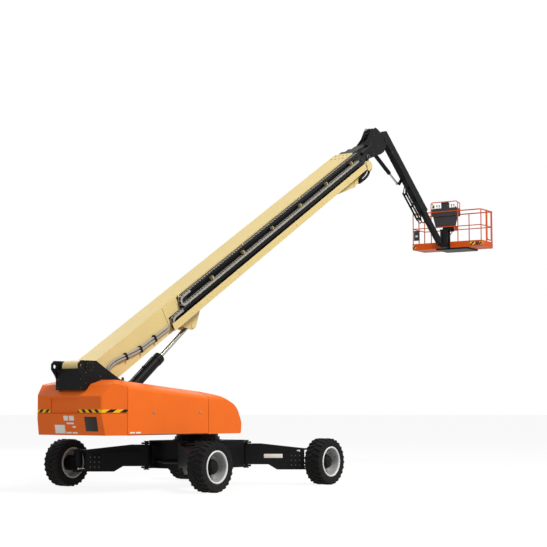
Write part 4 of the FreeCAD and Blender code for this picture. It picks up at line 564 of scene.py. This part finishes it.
def piece(name, mesh, finish, body, replaced=(), smooth=35):
    """Turn a finished mesh into a named piece that rides on a body."""
    bmesh.ops.recalc_face_normals(mesh, faces=mesh.faces)
    data = bpy.data.meshes.new(name)
    mesh.to_mesh(data)
    mesh.free()
    data.shade_smooth()
    data.set_sharp_from_angle(angle=math.radians(smooth))
    made = bpy.data.objects.new(name, data)
    bpy.context.scene.collection.objects.link(made)
    data.materials.append(FINISHES[finish])
    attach(made, body)
    if replaced:
        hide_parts(*replaced)
    return made


# -------------------- wheels

LUG_COUNT = 52
LUG_SLANT = math.radians(20)
LUG_MIDDLE = 0.112  # where a slanted lug crosses its own place round the tyre
TREAD_RADIUS = 0.5775
LUG_STATIONS = [(0.004, 0.5765), (0.06, 0.5775), (0.13, 0.5775), (0.19, 0.5755), (0.212, 0.569),
                (0.2235, 0.555), (0.2255, 0.536), (0.2225, 0.517)]
TYRE_WALL = [(0.357, 0.198), (0.372, 0.2045), (0.385, 0.207), (0.40, 0.2115), (0.425, 0.2185),
             (0.445, 0.2215), (0.450, 0.2235), (0.456, 0.2235), (0.460, 0.2215), (0.485, 0.2225),
             (0.51, 0.2225), (0.53, 0.2205), (0.542, 0.214), (0.548, 0.203), (0.55, 0.16), (0.551, 0.0)]


def wheel_place(corner):
    """Frame at a wheel's centre whose x runs outward along the axle."""
    side = CORNERS[corner][1]
    centre = spot(f"wheel_spin_{corner}")
    return Matrix.Translation(centre) @ Matrix.Rotation(math.radians(90 * side), 4, "Z")


def tyre(corner):
    """Tyre with a bulged, ribbed wall and slanted lugs that roll over the shoulder."""
    mesh = bmesh.new()
    place = wheel_place(corner)
    half = [(across, radius) for radius, across in TYRE_WALL]
    profile = half + [(-across, radius) for across, radius in reversed(half[:-1])]
    lathe(mesh, profile, place, 96, closed=True)
    for index in range(LUG_COUNT):
        tread_lug(mesh, place, math.tau * index / LUG_COUNT, 1 if index % 2 == 0 else -1)
    piece(f"tyre_tread_{corner}", mesh, "tyre_rubber", f"wheel_{corner}", [f"tyre_{corner}"])


def tread_lug(mesh, place, turn, side):
    """One lug: a tapered bar from the tread's middle, over the shoulder and down the wall."""
    rings = []
    for across, radius in LUG_STATIONS:
        lean = (LUG_MIDDLE - across) * math.tan(LUG_SLANT) / TREAD_RADIUS
        foot = min(radius - 0.012, 0.545)
        ring = []
        for height, half, inset in ((foot, 0.0275, 0.01), (radius, 0.0215, 0), (radius, -0.0215, 0),
                                    (foot, -0.0275, 0.01)):
            angle = turn + lean + half / TREAD_RADIUS
            ring.append(mesh.verts.new(place @ Vector((side * (across - inset), height * math.sin(angle),
                                                       height * math.cos(angle)))))
        rings.append(ring)
    bridge(mesh, rings)
    soften(mesh, [vert for ring in rings for vert in ring], 0.004)


def rim(corner):
    """Deep-dished rim with its disc, pale lip and wheel nuts, and the drive hub in black."""
    place = wheel_place(corner)
    mesh = bmesh.new()
    lathe(mesh, [(-0.223, 0.333), (-0.223, 0.362), (-0.216, 0.374), (-0.207, 0.3745), (-0.2045, 0.366),
                 (-0.195, 0.3545), (-0.12, 0.352), (-0.09, 0.34), (0.09, 0.34), (0.12, 0.352),
                 (0.195, 0.3545), (0.2045, 0.366), (0.207, 0.3745), (0.216, 0.374), (0.223, 0.362),
                 (0.2215, 0.345), (0.205, 0.336), (0.15, 0.331), (0.06, 0.318), (0.0, 0.312),
                 (-0.035, 0.295), (-0.035, 0.16), (-0.06, 0.16), (-0.06, 0.30),
                 (-0.15, 0.325)], place, 72, closed=True)
    piece(f"rim_dish_{corner}", mesh, "rim_paint", f"wheel_{corner}", [f"wheel_rim_{corner}"], 30)
    lip = bmesh.new()
    lathe(lip, [(0.188, 0.3525), (0.2048, 0.3665), (0.2072, 0.3748), (0.2163, 0.3748), (0.2233, 0.3622),
                (0.2219, 0.3446), (0.2052, 0.3355), (0.188, 0.334)], place, 72, closed=True)
    piece(f"rim_lip_{corner}", lip, "rim_lip", f"wheel_{corner}", [f"wheel_rim_{corner}"], 30)
    hub = bmesh.new()
    lathe(hub, [(-0.06, 0), (-0.06, 0.162), (-0.035, 0.162), (-0.03, 0.19), (-0.012, 0.19), (-0.008, 0.15),
                (0.09, 0.146), (0.094, 0.156), (0.112, 0.156), (0.116, 0.14), (0.13, 0.136), (0.15, 0.118),
                (0.158, 0.05), (0.165, 0.046), (0.165, 0)], place, 48)
    for y, z in round_spots(10, 0.172):
        bolt(hub, (-0.012, y, z), (1, 0, 0), place, 0.011, 0.02)
    for y, z in round_spots(8, 0.104, 0.5):
        bolt(hub, (0.13, y, z), (1, 0, 0), place, 0.008, 0.014)
    piece(f"drive_hub_{corner}", hub, "black_paint", f"wheel_{corner}", [f"wheel_rim_{corner}"], 30)
    nuts = bmesh.new()
    for y, z in round_spots(12, 0.225, 0.5):
        bolt(nuts, (-0.036, y, z), (1, 0, 0), place, 0.014, 0.024)
    piece(f"wheel_nuts_{corner}", nuts, "bolt_zinc", f"wheel_{corner}")


# -------------------- chassis and beams

def beam_fittings(corner):
    """Bolted gusset plates, pin caps, and two hoses with their straps along the beam."""
    place, length = beam_frame(corner)
    mesh = bmesh.new()
    fixings = bmesh.new()
    gusset = [(length - 0.56, 0.42), (length - 0.27, 0.44), (length - 0.27, 0.80), (length - 0.36, 0.84),
              (length - 0.56, 0.80)]
    for side in (1, -1):
        plate(mesh, gusset, 0.007, place @ Matrix.Translation((0, side * 0.1335, 0)))
        for back in (0.52, 0.415, 0.31):
            for height in (0.48, 0.60, 0.72):
                bolt(fixings, (length - back, side * 0.137, height), (0, side, 0), place, 0.011, 0.01)
    for height, direction in ((0.90, 1), (0.37, -1)):
        face = height + direction * 0.022
        rod(mesh, (length, 0, height + direction * 0.002), (length, 0, face), 0.062, place, 20)
        for x, y in round_spots(4, 0.042):
            bolt(fixings, (length + x, y, face), (0, 0, direction), place, 0.006, 0.007)
    for along in (0.24, 0.7, 1.1):
        block(mesh, (along, 0.13, 0.80), (along + 0.03, 0.152, 0.90), place)
    piece(f"beam_plates_{corner}", mesh, "black_paint", f"axle_{corner}")
    piece(f"beam_bolts_{corner}", fixings, "bolt_zinc", f"axle_{corner}")
    hoses = bmesh.new()
    for lift in (0.835, 0.87):
        line = route([(0.12, 0.141, lift), (0.3, 0.141, lift), (0.8, 0.141, lift), (1.2, 0.141, lift - 0.02),
                      (length - 0.30, 0.141, lift - 0.03)])
        tube(hoses, line, 0.011, place, 8)
    piece(f"beam_hoses_{corner}", hoses, "hose_rubber", f"axle_{corner}")


def blank_tags():
    """Blank plates where the machine carries signs."""
    tags = bmesh.new()
    place, _ = beam_frame("front_right")
    block(tags, (0.45, -0.135, 0.66), (0.92, -0.131, 0.76), place, 0.001)
    block(tags, (1.28, -0.135, 0.80), (1.36, -0.131, 0.86), place, 0.001)
    piece("beam_tags_front_right", tags, "plate_white", "axle_front_right")
    tags = bmesh.new()
    place, length = beam_frame("rear_right")
    for low in (0.62, 0.54):
        block(tags, (length - 0.24, -0.151, low), (length - 0.21, -0.147, low + 0.04), place, 0.001)
    piece("beam_tags_rear_right", tags, "plate_white", "axle_rear_right")


def chassis_fittings():
    """Slew ring bolts, and the caps and bolts of the swing pins."""
    mesh = bmesh.new()
    plates = bmesh.new()
    for x, y in round_spots(28, 0.59):
        bolt(mesh, (x, y, 1.12), (0, 0, 1), MACHINE, 0.013, 0.02)
    for ahead, left in CORNERS.values():
        centre = Vector((ahead * 1.2, left * 0.6, 0))
        for height, direction in ((1.085, 1), (0.435, -1)):
            face = height + direction * 0.02
            rod(plates, centre + Vector((0, 0, height)), centre + Vector((0, 0, face)), 0.075, MACHINE, 24)
            for x, y in round_spots(6, 0.055):
                bolt(mesh, centre + Vector((x, y, face)), (0, 0, direction), MACHINE, 0.008, 0.008)
    piece("chassis_bolts", mesh, "bolt_zinc", "chassis")
    piece("swing_pin_caps", plates, "black_paint", "chassis")


# -------------------- turntable

def tail_plates():
    """Blank signs on the tail and the right hood."""
    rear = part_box("counterweight")[0].x - MACHINE.translation.x
    lean = math.atan2(0.1, 0.484)

    def on_tail(mesh, y_low, y_high, z_low, z_high):
        middle = (z_low + z_high) / 2
        out = rear + (1.78 - middle) * math.tan(lean) - 0.0015
        seat = MACHINE @ Matrix.Translation((out, 0, middle)) @ Matrix.Rotation(-lean, 4, "Y")
        half = (z_high - z_low) / 2
        block(mesh, (-0.002, y_low, -half), (0.002, y_high, half), seat, 0.001)

    white = bmesh.new()
    for corners in ((0.17, 0.49, 1.335, 1.53), (0.035, 0.175, 1.625, 1.735), (-0.15, 0.0, 1.625, 1.735),
                    (-0.13, 0.095, 1.545, 1.585), (-0.18, -0.08, 1.465, 1.505), (-0.025, 0.14, 1.335, 1.372),
                    (-0.21, -0.055, 1.335, 1.372)):
        on_tail(white, *corners)
    piece("tail_plates_white", white, "plate_white", "turntable")
    dark = bmesh.new()
    on_tail(dark, -0.86, -0.48, 1.385, 1.715)
    piece("tail_plate_dark", dark, "plate_dark", "turntable")
    tags = bmesh.new()
    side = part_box("hood_right")[0].y
    for start in (-3.76, -3.565):
        block(tags, (start, side - 0.003, 1.335), (start + 0.155, side + 0.001, 1.372), MACHINE, 0.001)
    piece("hood_plates_right", tags, "plate_white", "hood_right")


def hood_fittings():
    """Latches and seals on the hoods, the left one's louvres, and the beacon."""
    for name, side in (("left", 1), ("right", -1)):
        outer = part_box("hood_left")[1].y * side
        latch = bmesh.new()
        for along in (-2.97, -1.35):
            block(latch, (along - 0.035, outer, 1.79), (along + 0.035, outer + side * 0.012, 1.83), MACHINE)
            rod(latch, (along, outer, 1.81), (along, outer + side * 0.016, 1.81), 0.011, MACHINE, 12)
        piece(f"hood_latches_{name}", latch, "steel", f"hood_{name}")
        trim = bmesh.new()
        block(trim, (-3.83, outer, 1.30), (-1.07, outer + side * 0.006, 1.312), MACHINE, 0.002)
        piece(f"hood_seal_{name}", trim, "hose_rubber", f"hood_{name}")
    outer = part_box("hood_left")[1].y
    grille = bmesh.new()
    for low in (1.46, 1.945):
        block(grille, (-3.3, outer - 0.002, low), (-2.2, outer + 0.010, low + 0.015), MACHINE, 0.003)
    for along in (-3.3, -2.757, -2.215):
        block(grille, (along, outer - 0.002, 1.46), (along + 0.015, outer + 0.010, 1.96), MACHINE, 0.003)
    for step in range(15):
        height = 1.49 + step * 0.031
        seat = MACHINE @ Matrix.Translation((-2.75, outer + 0.004, height)) @ Matrix.Rotation(0.5, 4, "X")
        block(grille, (-0.54, -0.003, -0.012), (0.54, 0.003, 0.012), seat, 0.001)
    piece("hood_grille_left", grille, "black_paint", "hood_left")
    beacon = bmesh.new()
    seat = MACHINE @ Matrix.Translation((-3.44, -0.70, 2.505)) @ Matrix.Rotation(math.radians(-90), 4, "Y")
    dome = [(0, 0), (0, 0.045), (0.02, 0.045), (0.025, 0.034), (0.085, 0.03), (0.1, 0.018), (0.102, 0)]
    lathe(beacon, dome, seat, 24)
    piece("hood_beacon", beacon, "console_plastic", "hood_right")


MAST_SIDE = 0.4402  # a mast plate's outer face


def mast_fittings():
    """Pin keepers on the mast plates, and the mast's bolts."""
    bolts = bmesh.new()
    keepers = bmesh.new()
    pivot = spot("boom_lift")
    for side in (1, -1):
        centre = Vector((pivot.x, side * MAST_SIDE, pivot.z))
        ring = Matrix.Translation(centre) @ Matrix.Rotation(math.radians(90 * side), 4, "Z")
        keeper = [(0, 0.08), (0, 0.125), (0.008, 0.13), (0.012, 0.125), (0.012, 0.08)]
        lathe(keepers, keeper, ring, 40, closed=True)
        for y, z in round_spots(8, 0.103):
            bolt(bolts, (0.012, y, z), (1, 0, 0), ring, 0.009, 0.01)
        for along, height in ((-4.36, 2.46), (-4.36, 2.70), (-3.9, 2.62), (-3.5, 2.46), (-3.9, 2.40)):
            bolt(bolts, (along, side * MAST_SIDE, height), (0, side, 0), MACHINE, 0.012, 0.01)
    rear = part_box("mast_rear_plate")[0].x - MACHINE.translation.x
    for across in (-0.36, 0.36):
        for height in (2.36, 2.55, 2.74):
            bolt(bolts, (rear, across, height), (-1, 0, 0), MACHINE, 0.01, 0.008)
    piece("mast_bolts", bolts, "bolt_zinc", "turntable")
    piece("mast_pin_keepers", keepers, "black_paint", "turntable")


# -------------------- boom

CHAIN_END = 12.6
CHAIN_ACROSS = -0.379
CHAIN_PITCH = 0.105


def chain_line(centre, top, bottom):
    """Middle line of a chain: out along the top, round the loop and back along the bottom."""
    middle = (top + bottom) / 2
    reach = (top - bottom) / 2 - 0.03
    line = [Vector((CHAIN_END, CHAIN_ACROSS, top - 0.03)), Vector((centre, CHAIN_ACROSS, top - 0.03))]
    for step in range(1, 16):
        turn = math.pi / 2 + math.pi * step / 16
        line.append(Vector((centre + reach * math.cos(turn), CHAIN_ACROSS, middle + reach * math.sin(turn))))
    return line + [Vector((along, CHAIN_ACROSS, bottom + 0.03)) for along in (centre, CHAIN_END)]


def energy_chain(name, centre, top, bottom):
    """Chain of rounded side plates and cross bars, with the hoses that it carries."""
    line = chain_line(centre, top, bottom)
    spots = even_steps(line, CHAIN_PITCH)
    half = CHAIN_PITCH * 0.62
    shape = [(-half, -0.014), (-half + 0.018, -0.028), (half - 0.018, -0.028), (half, -0.014),
             (half, 0.014), (half - 0.018, 0.028), (-half + 0.018, 0.028), (-half, 0.014)]
    links = bmesh.new()
    for index, (here, after) in enumerate(zip(spots, spots[1:])):
        seat = BOOM @ side_frame((here + after) / 2, after - here)
        inset = 0.006 if index % 2 else 0.0
        for side in (1, -1):
            across = side * (0.0455 - inset)
            plate(links, shape, 0.008, seat @ Matrix.Translation((0, across, 0)), 0)
        for rise in (0.0255, -0.0255):
            block(links, (-0.014, -0.048, rise - 0.004), (0.014, 0.048, rise + 0.004), seat, 0.0015)
    piece(f"chain_links_{name}", links, "chain_plastic", "boom_base", [f"energy_chain_{name}"], 25)
    hoses = bmesh.new()
    for across in (-0.024, 0.0, 0.024):
        tube(hoses, [point + Vector((0, across, 0)) for point in line], 0.0105, BOOM, 6)
    piece(f"chain_hoses_{name}", hoses, "hose_rubber", "boom_base")


HOSE_ROUTE = [(0.42, -0.64), (0.52, -0.38), (0.78, -0.30), (1.24, -0.40), (1.76, -0.50), (2.32, -0.52),
              (2.90, -0.54)]


def boom_hoses():
    """Two ribbed conduits along the base section, in their clamps."""
    ribs = bmesh.new()
    for row in (0, 1):
        line = route([Vector((along, -0.347, up - 0.07 * row)) for along, up in HOSE_ROUTE])
        tube(ribs, even_steps(line, 0.022), 0.03, BOOM, 12, ribs=0.22)
    piece("conduits", ribs, "chain_plastic", "boom_base", ["boom_hoses"])
    clamps = bmesh.new()
    bolts = bmesh.new()
    for along, up in ((1.24, -0.40), (1.76, -0.50), (2.32, -0.52)):
        block(clamps, (along - 0.025, -0.389, up - 0.12), (along + 0.025, -0.305, up + 0.05), BOOM, 0.006)
        for rise in (0.035, -0.105):
            bolt(bolts, (along, -0.389, up + rise), (0, -1, 0), BOOM, 0.008, 0.008)
    piece("conduit_clamps", clamps, "black_paint", "boom_base", ["boom_hoses"])
    piece("conduit_bolts", bolts, "bolt_zinc", "boom_base")


def tray_fittings():
    """Pale clamp plates along the tray, a black shelf that parts the two chains, and thin black sheets of painted
    shade on the web and under the tray's top edge and the shelf.
    """
    pale = bmesh.new()
    for step in range(6):
        along = 4.9 + step * 1.45
        block(pale, (along, -0.4405, -0.305), (along + 0.02, -0.317, -0.200), BOOM, 0.003)
        block(pale, (along + 0.02, -0.335, -0.345), (along + 0.075, -0.317, -0.29), BOOM, 0.003)
        block(pale, (along - 0.5, -0.458, -0.66), (along - 0.475, -0.4555, -0.50), BOOM, 0.001)
    for along in (3.6, 6.5, 9.4):
        block(pale, (along, -0.325, -0.16), (along + 0.05, -0.305, -0.055), BOOM, 0.003)
    piece("tray_clamps", pale, "cream_paint", "boom_base")
    shelf_and_shade = bmesh.new()
    block(shelf_and_shade, (3.9, -0.433, -0.388), (12.7, -0.325, -0.376), BOOM, 0.003)
    # Painted shade: a thin black sheet on the web behind the upper chain.
    block(shelf_and_shade, (3.9, -0.322, -0.35), (12.7, -0.316, -0.17), BOOM, 0.002)
    # Painted shade: thin black sheets just under the tray's top edge and under the shelf, over the chains' top
    # runs.
    for start, top in ((3.97, -0.094), (3.5, -0.388)):
        block(shelf_and_shade, (start, -0.4355, top - 0.074), (12.63, -0.4315, top), BOOM, 0.001)
    piece("tray_shelf_and_shade", shelf_and_shade, "black_paint", "boom_base")
    bolts = bmesh.new()
    for step in range(22):
        bolt(bolts, (3.3 + step * 0.43, -0.4555, -0.60), (0, -1, 0), BOOM, 0.009, 0.007)
    piece("tray_bolts", bolts, "cream_paint", "boom_base")


def boom_fittings():
    """Weld beads, and the bolts of the wear pads at the base section's front."""
    beads = bmesh.new()
    for side in (1, -1):
        for up in (-0.056, -0.742):
            rod(beads, (0.9, side * 0.3045, up), (11.0, side * 0.3045, up), 0.006, BOOM, 6)
    piece("boom_weld_beads", beads, "cream_paint", "boom_base")
    bolts = bmesh.new()
    for side in (1, -1):
        for along in (12.05, 12.17, 12.29, 12.41):
            for up in (-0.14, -0.66):
                bolt(bolts, (along, side * BASE_SIDE, up), (0, side, 0), BOOM, 0.013, 0.012)
    for across in (-0.2, -0.07, 0.07, 0.2):
        for along in (12.12, 12.36):
            bolt(bolts, (along, across, -0.05), (0, 0, 1), BOOM, 0.013, 0.012)
    piece("boom_collar_bolts", bolts, "bolt_zinc", "boom_base")


def head_fittings():
    """Pin caps, bolts, ring, rollers and hose loops on the boom's head."""
    plates = bmesh.new()
    bolts = bmesh.new()
    pivot = spot("jib_swing")
    outer = 0.128
    for side in (1, -1):
        seat = Matrix.Translation((pivot.x, side * outer, pivot.z))
        ring = seat @ Matrix.Rotation(math.radians(90 * side), 4, "Z")
        cap = [(0, 0.042), (0, 0.075), (0.006, 0.078), (0.01, 0.075), (0.01, 0.042)]
        lathe(plates, cap, ring, 32, closed=True)
        for y, z in round_spots(6, 0.06):
            bolt(bolts, (0.01, y, z), (1, 0, 0), ring, 0.007, 0.008)
        for along, up in ((13.5, -0.3), (13.5, -0.5), (13.8, -0.25), (13.8, -0.6), (14.1, -0.15),
                          (14.15, -0.5), (14.4, -0.2)):
            bolt(bolts, (along, side * outer, up), (0, side, 0), BOOM, 0.013, 0.012)
    rod(plates, (14.18, -0.11, 0.0), (14.18, 0.11, 0.0), 0.05, BOOM, 24)
    rod(plates, (13.92, -0.10, -0.03), (13.92, 0.10, -0.03), 0.035, BOOM, 20)
    piece("head_pin_caps", plates, "black_paint", "boom_fly")
    piece("head_bolts", bolts, "bolt_zinc", "boom_fly")
    hoses = bmesh.new()
    for row in range(3):
        across, drop = -0.42 + 0.06 * row, 0.03 * row
        loop = [(12.80, across, -0.60), (12.76, across, -0.72), (12.60, across, -0.79 - drop),
                (12.34, across, -0.80 - drop), (12.34, across, -0.90 - drop), (12.72, across, -0.90 - drop),
                (13.05, -0.30, -0.86 - drop), (13.20, -0.22, -0.66), (13.42, -0.15, -0.52)]
        tube(hoses, route([Vector(point) for point in loop]), 0.036, BOOM, 10)
    for lift in (0.05, 0.12):
        arch = [(13.55, -0.1, -0.05), (13.60, -0.16, 0.06 + lift), (13.84, -0.16, 0.10 + lift),
                (13.92, -0.1, -0.02)]
        tube(hoses, route([Vector(point) for point in arch]), 0.011, BOOM, 8)
    piece("head_hoses", hoses, "hose_rubber", "boom_fly")
    ring = bmesh.new()
    circle = [Vector((13.379 + 0.065 * math.cos(turn), -0.2, -0.546 + 0.065 * math.sin(turn)))
              for turn in (math.tau * step / 24 for step in range(25))]
    tube(ring, circle, 0.006, BOOM, 8)
    rod(ring, (13.33, -0.2, -0.5), (13.33, -0.12, -0.5), 0.01, BOOM, 10)
    piece("head_ring", ring, "steel", "boom_fly")


def lift_fittings():
    """Gland bolts, feed pipes and their straps on the lift cylinder."""
    mesh = bmesh.new()
    for y, z in round_spots(12, 0.118):
        bolt(mesh, (2.8, y, z), (1, 0, 0), LIFT, 0.009, 0.014)
    piece("lift_gland_bolts", mesh, "bolt_zinc", "lift_barrel")
    pipes = bmesh.new()
    for across in (-0.03, 0.03):
        rod(pipes, (0.2, across, 0.146), (2.62, across, 0.146), 0.011, LIFT, 10)
    for along in (0.4, 1.0, 1.6, 2.2):
        block(pipes, (along, -0.05, 0.125), (along + 0.04, 0.05, 0.165), LIFT)
    block(pipes, (0.16, -0.06, 0.12), (0.30, 0.06, 0.19), LIFT, 0.006)
    piece("lift_pipes", pipes, "black_paint", "lift_barrel")


# -------------------- jib and platform

def jib_fittings():
    """Bolts, straps, hydraulic lines and blank hose tags on the jib."""
    bolts = bmesh.new()
    straps = bmesh.new()
    for side in (1, -1):
        for along in (0.35, 0.55, 2.75, 2.95):
            for up in (0.06, 0.22):
                bolt(bolts, (along, side * 0.095, up), (0, side, 0), JIB, 0.009, 0.009)
    for along in (0.8, 1.5, 2.3, 2.98):
        for low in (0.001, 0.277):
            block(straps, (along, -0.099, low), (along + 0.05, 0.099, low + 0.005), JIB, 0.002)
    piece("jib_bolts", bolts, "bolt_zinc", "jib_base")
    piece("jib_straps", straps, "black_paint", "jib_base")
    lines = bmesh.new()
    for across, end in ((-0.13, -0.055), (-0.10, -0.03), (-0.07, 0.055)):
        line = [(0.45, across * 0.75, -0.012), (0.9, across, -0.014), (1.3, across, -0.014),
                (1.62, across, -0.03), (1.80, (across + end) / 2, -0.20), (1.93, end, -0.25)]
        tube(lines, route([Vector(point) for point in line]), 0.016, JIB, 8)
    for across in (-0.055, 0.055):
        line = [(2.99, across, -0.25), (3.12, across, -0.25), (3.22, across, -0.18), (3.20, across, -0.06),
                (3.02, across, -0.012)]
        tube(lines, route([Vector(point) for point in line]), 0.016, JIB, 8)
    piece("jib_lines", lines, "hose_rubber", "jib_base")
    tags = bmesh.new()
    for along in (2.05, 2.45, 2.85):
        block(tags, (along, -0.087, -0.262), (along + 0.07, -0.0845, -0.238), JIB, 0.001)
    piece("jib_hose_tags", tags, "plate_white", "jib_base")


def platform_floor():
    """Bar grating on the platform's floor."""
    mesh = bmesh.new()
    rear, front, right, left = 0.245, 1.095, -1.178, 1.204
    step = 0.034
    for index in range(int((left - right) / step)):
        across = right + 0.02 + index * step
        block(mesh, (rear, across, 0.0405), (front, across + 0.006, 0.049), PLATFORM, 0.001)
    for index in range(9):
        along = rear + 0.03 + index * 0.1
        block(mesh, (along, right, 0.0405), (along + 0.008, left, 0.0455), PLATFORM, 0.001)
    piece("platform_grating", mesh, "grating", "platform")


def platform_fittings():
    """Hazard marks, document box, valve block with its hoses, junction box, grips and lanyard eyes."""
    marks = bmesh.new()
    for low, high in ((-1.19, -1.13), (-0.98, -0.80), (1.10, 1.21)):
        block(marks, (0.2165, low, 0.05), (0.2195, high, 0.15), PLATFORM, 0.0008)
    block(marks, (0.26, -1.2045, 0.05), (0.40, -1.2015, 0.15), PLATFORM, 0.0008)
    piece("platform_hazard_marks", marks, "hazard", "platform")
    dark = bmesh.new()
    block(dark, (0.2165, -1.11, 0.05), (0.2195, -1.0, 0.15), PLATFORM, 0.0008)
    block(dark, (0.245, 1.0, 0.31), (0.30, 1.19, 0.62), PLATFORM, 0.012)
    block(dark, (0.242, 0.99, 0.60), (0.305, 1.20, 0.635), PLATFORM, 0.008)
    piece("platform_document_box", dark, "console_plastic", "platform")
    tag = bmesh.new()
    block(tag, (0.2425, 1.05, 0.42), (0.245, 1.13, 0.48), PLATFORM, 0.001)
    piece("platform_box_tag", tag, "plate_white", "platform")
    middle = console_middle()
    works = bmesh.new()
    block(works, (0.246, -0.22, 0.53), (0.32, 0.16, 0.70), PLATFORM, 0.008)
    for across in (-0.16, -0.08, 0.0, 0.08):
        rod(works, (0.235, across, 0.60), (0.248, across, 0.60), 0.022, PLATFORM, 14)
        line = [(0.205, across * 0.6, 0.36), (0.20, across * 0.8, 0.44), (0.262, across, 0.47),
                (0.275, across, 0.54)]
        tube(works, route([Vector(point) for point in line]), 0.013, PLATFORM, 8)
    piece("platform_valve_block", works, "black_paint", "platform")
    joint_box = bmesh.new()
    block(joint_box, (0.246, middle - 0.46, 0.55), (0.31, middle - 0.34, 0.69), PLATFORM, 0.008)
    for side in (-1, 1):
        foot = middle + side * 0.47
        grip = [(0.239, foot, 1.46), (0.30, foot, 1.485), (0.40, foot, 1.46), (0.42, foot, 1.36),
                (0.38, foot, 1.27), (0.28, foot, 1.25), (0.239, foot, 1.26)]
        tube(joint_box, route([Vector(point) for point in grip]), 0.014, PLATFORM, 10)
    piece("platform_grips", joint_box, "orange_paint", "platform")
    caution = bmesh.new()
    block(caution, (0.222, middle + 0.345, 1.325), (0.246, middle + 0.42, 1.43), PLATFORM)
    piece("platform_caution_tag", caution, "hazard", "platform")
    eyes = bmesh.new()
    for across in (-1.0, 0.8, 1.05):
        circle = [Vector((1.06, across + 0.028 * math.cos(turn), 0.78 + 0.028 * math.sin(turn)))
                  for turn in (math.tau * step / 16 for step in range(17))]
        tube(eyes, circle, 0.006, PLATFORM, 8)
    piece("platform_lanyard_eyes", eyes, "steel", "platform")


def console_fittings():
    """Control panels, levers, knobs and stop button on the console."""
    face = bmesh.new()
    mid = console_middle()
    rise = 1.307
    for low in (-0.38, 0.15):
        block(face, (0.30, mid + low, rise), (0.36, mid + low + 0.23, rise + 0.012), PLATFORM)
    for across in (-0.30, -0.22, 0.22, 0.30):
        rod(face, (0.33, mid + across, rise + 0.01), (0.33, mid + across, rise + 0.08), 0.008, PLATFORM, 10)
        rod(face, (0.33, mid + across, rise + 0.075), (0.33, mid + across, rise + 0.12), 0.018, PLATFORM, 14)
    piece("console_levers", face, "console_plastic", "platform")
    button = bmesh.new()
    rod(button, (0.33, mid - 0.36, rise + 0.012), (0.33, mid - 0.36, rise + 0.045), 0.022, PLATFORM, 20, 0.4)
    piece("console_stop_button", button, "stop_red", "platform")


def main():
    """Make everything."""
    camera()
    studio()
    dress_nodes()
    for corner in CORNERS:
        tyre(corner)
        rim(corner)
        beam_fittings(corner)
    blank_tags()
    chassis_fittings()
    tail_plates()
    hood_fittings()
    mast_fittings()
    for name, (centre, top, bottom) in CHAINS.items():
        energy_chain(name, centre, top, bottom)
    boom_hoses()
    tray_fittings()
    boom_fittings()
    head_fittings()
    lift_fittings()
    jib_fittings()
    platform_floor()
    platform_fittings()
    console_fittings()


main()
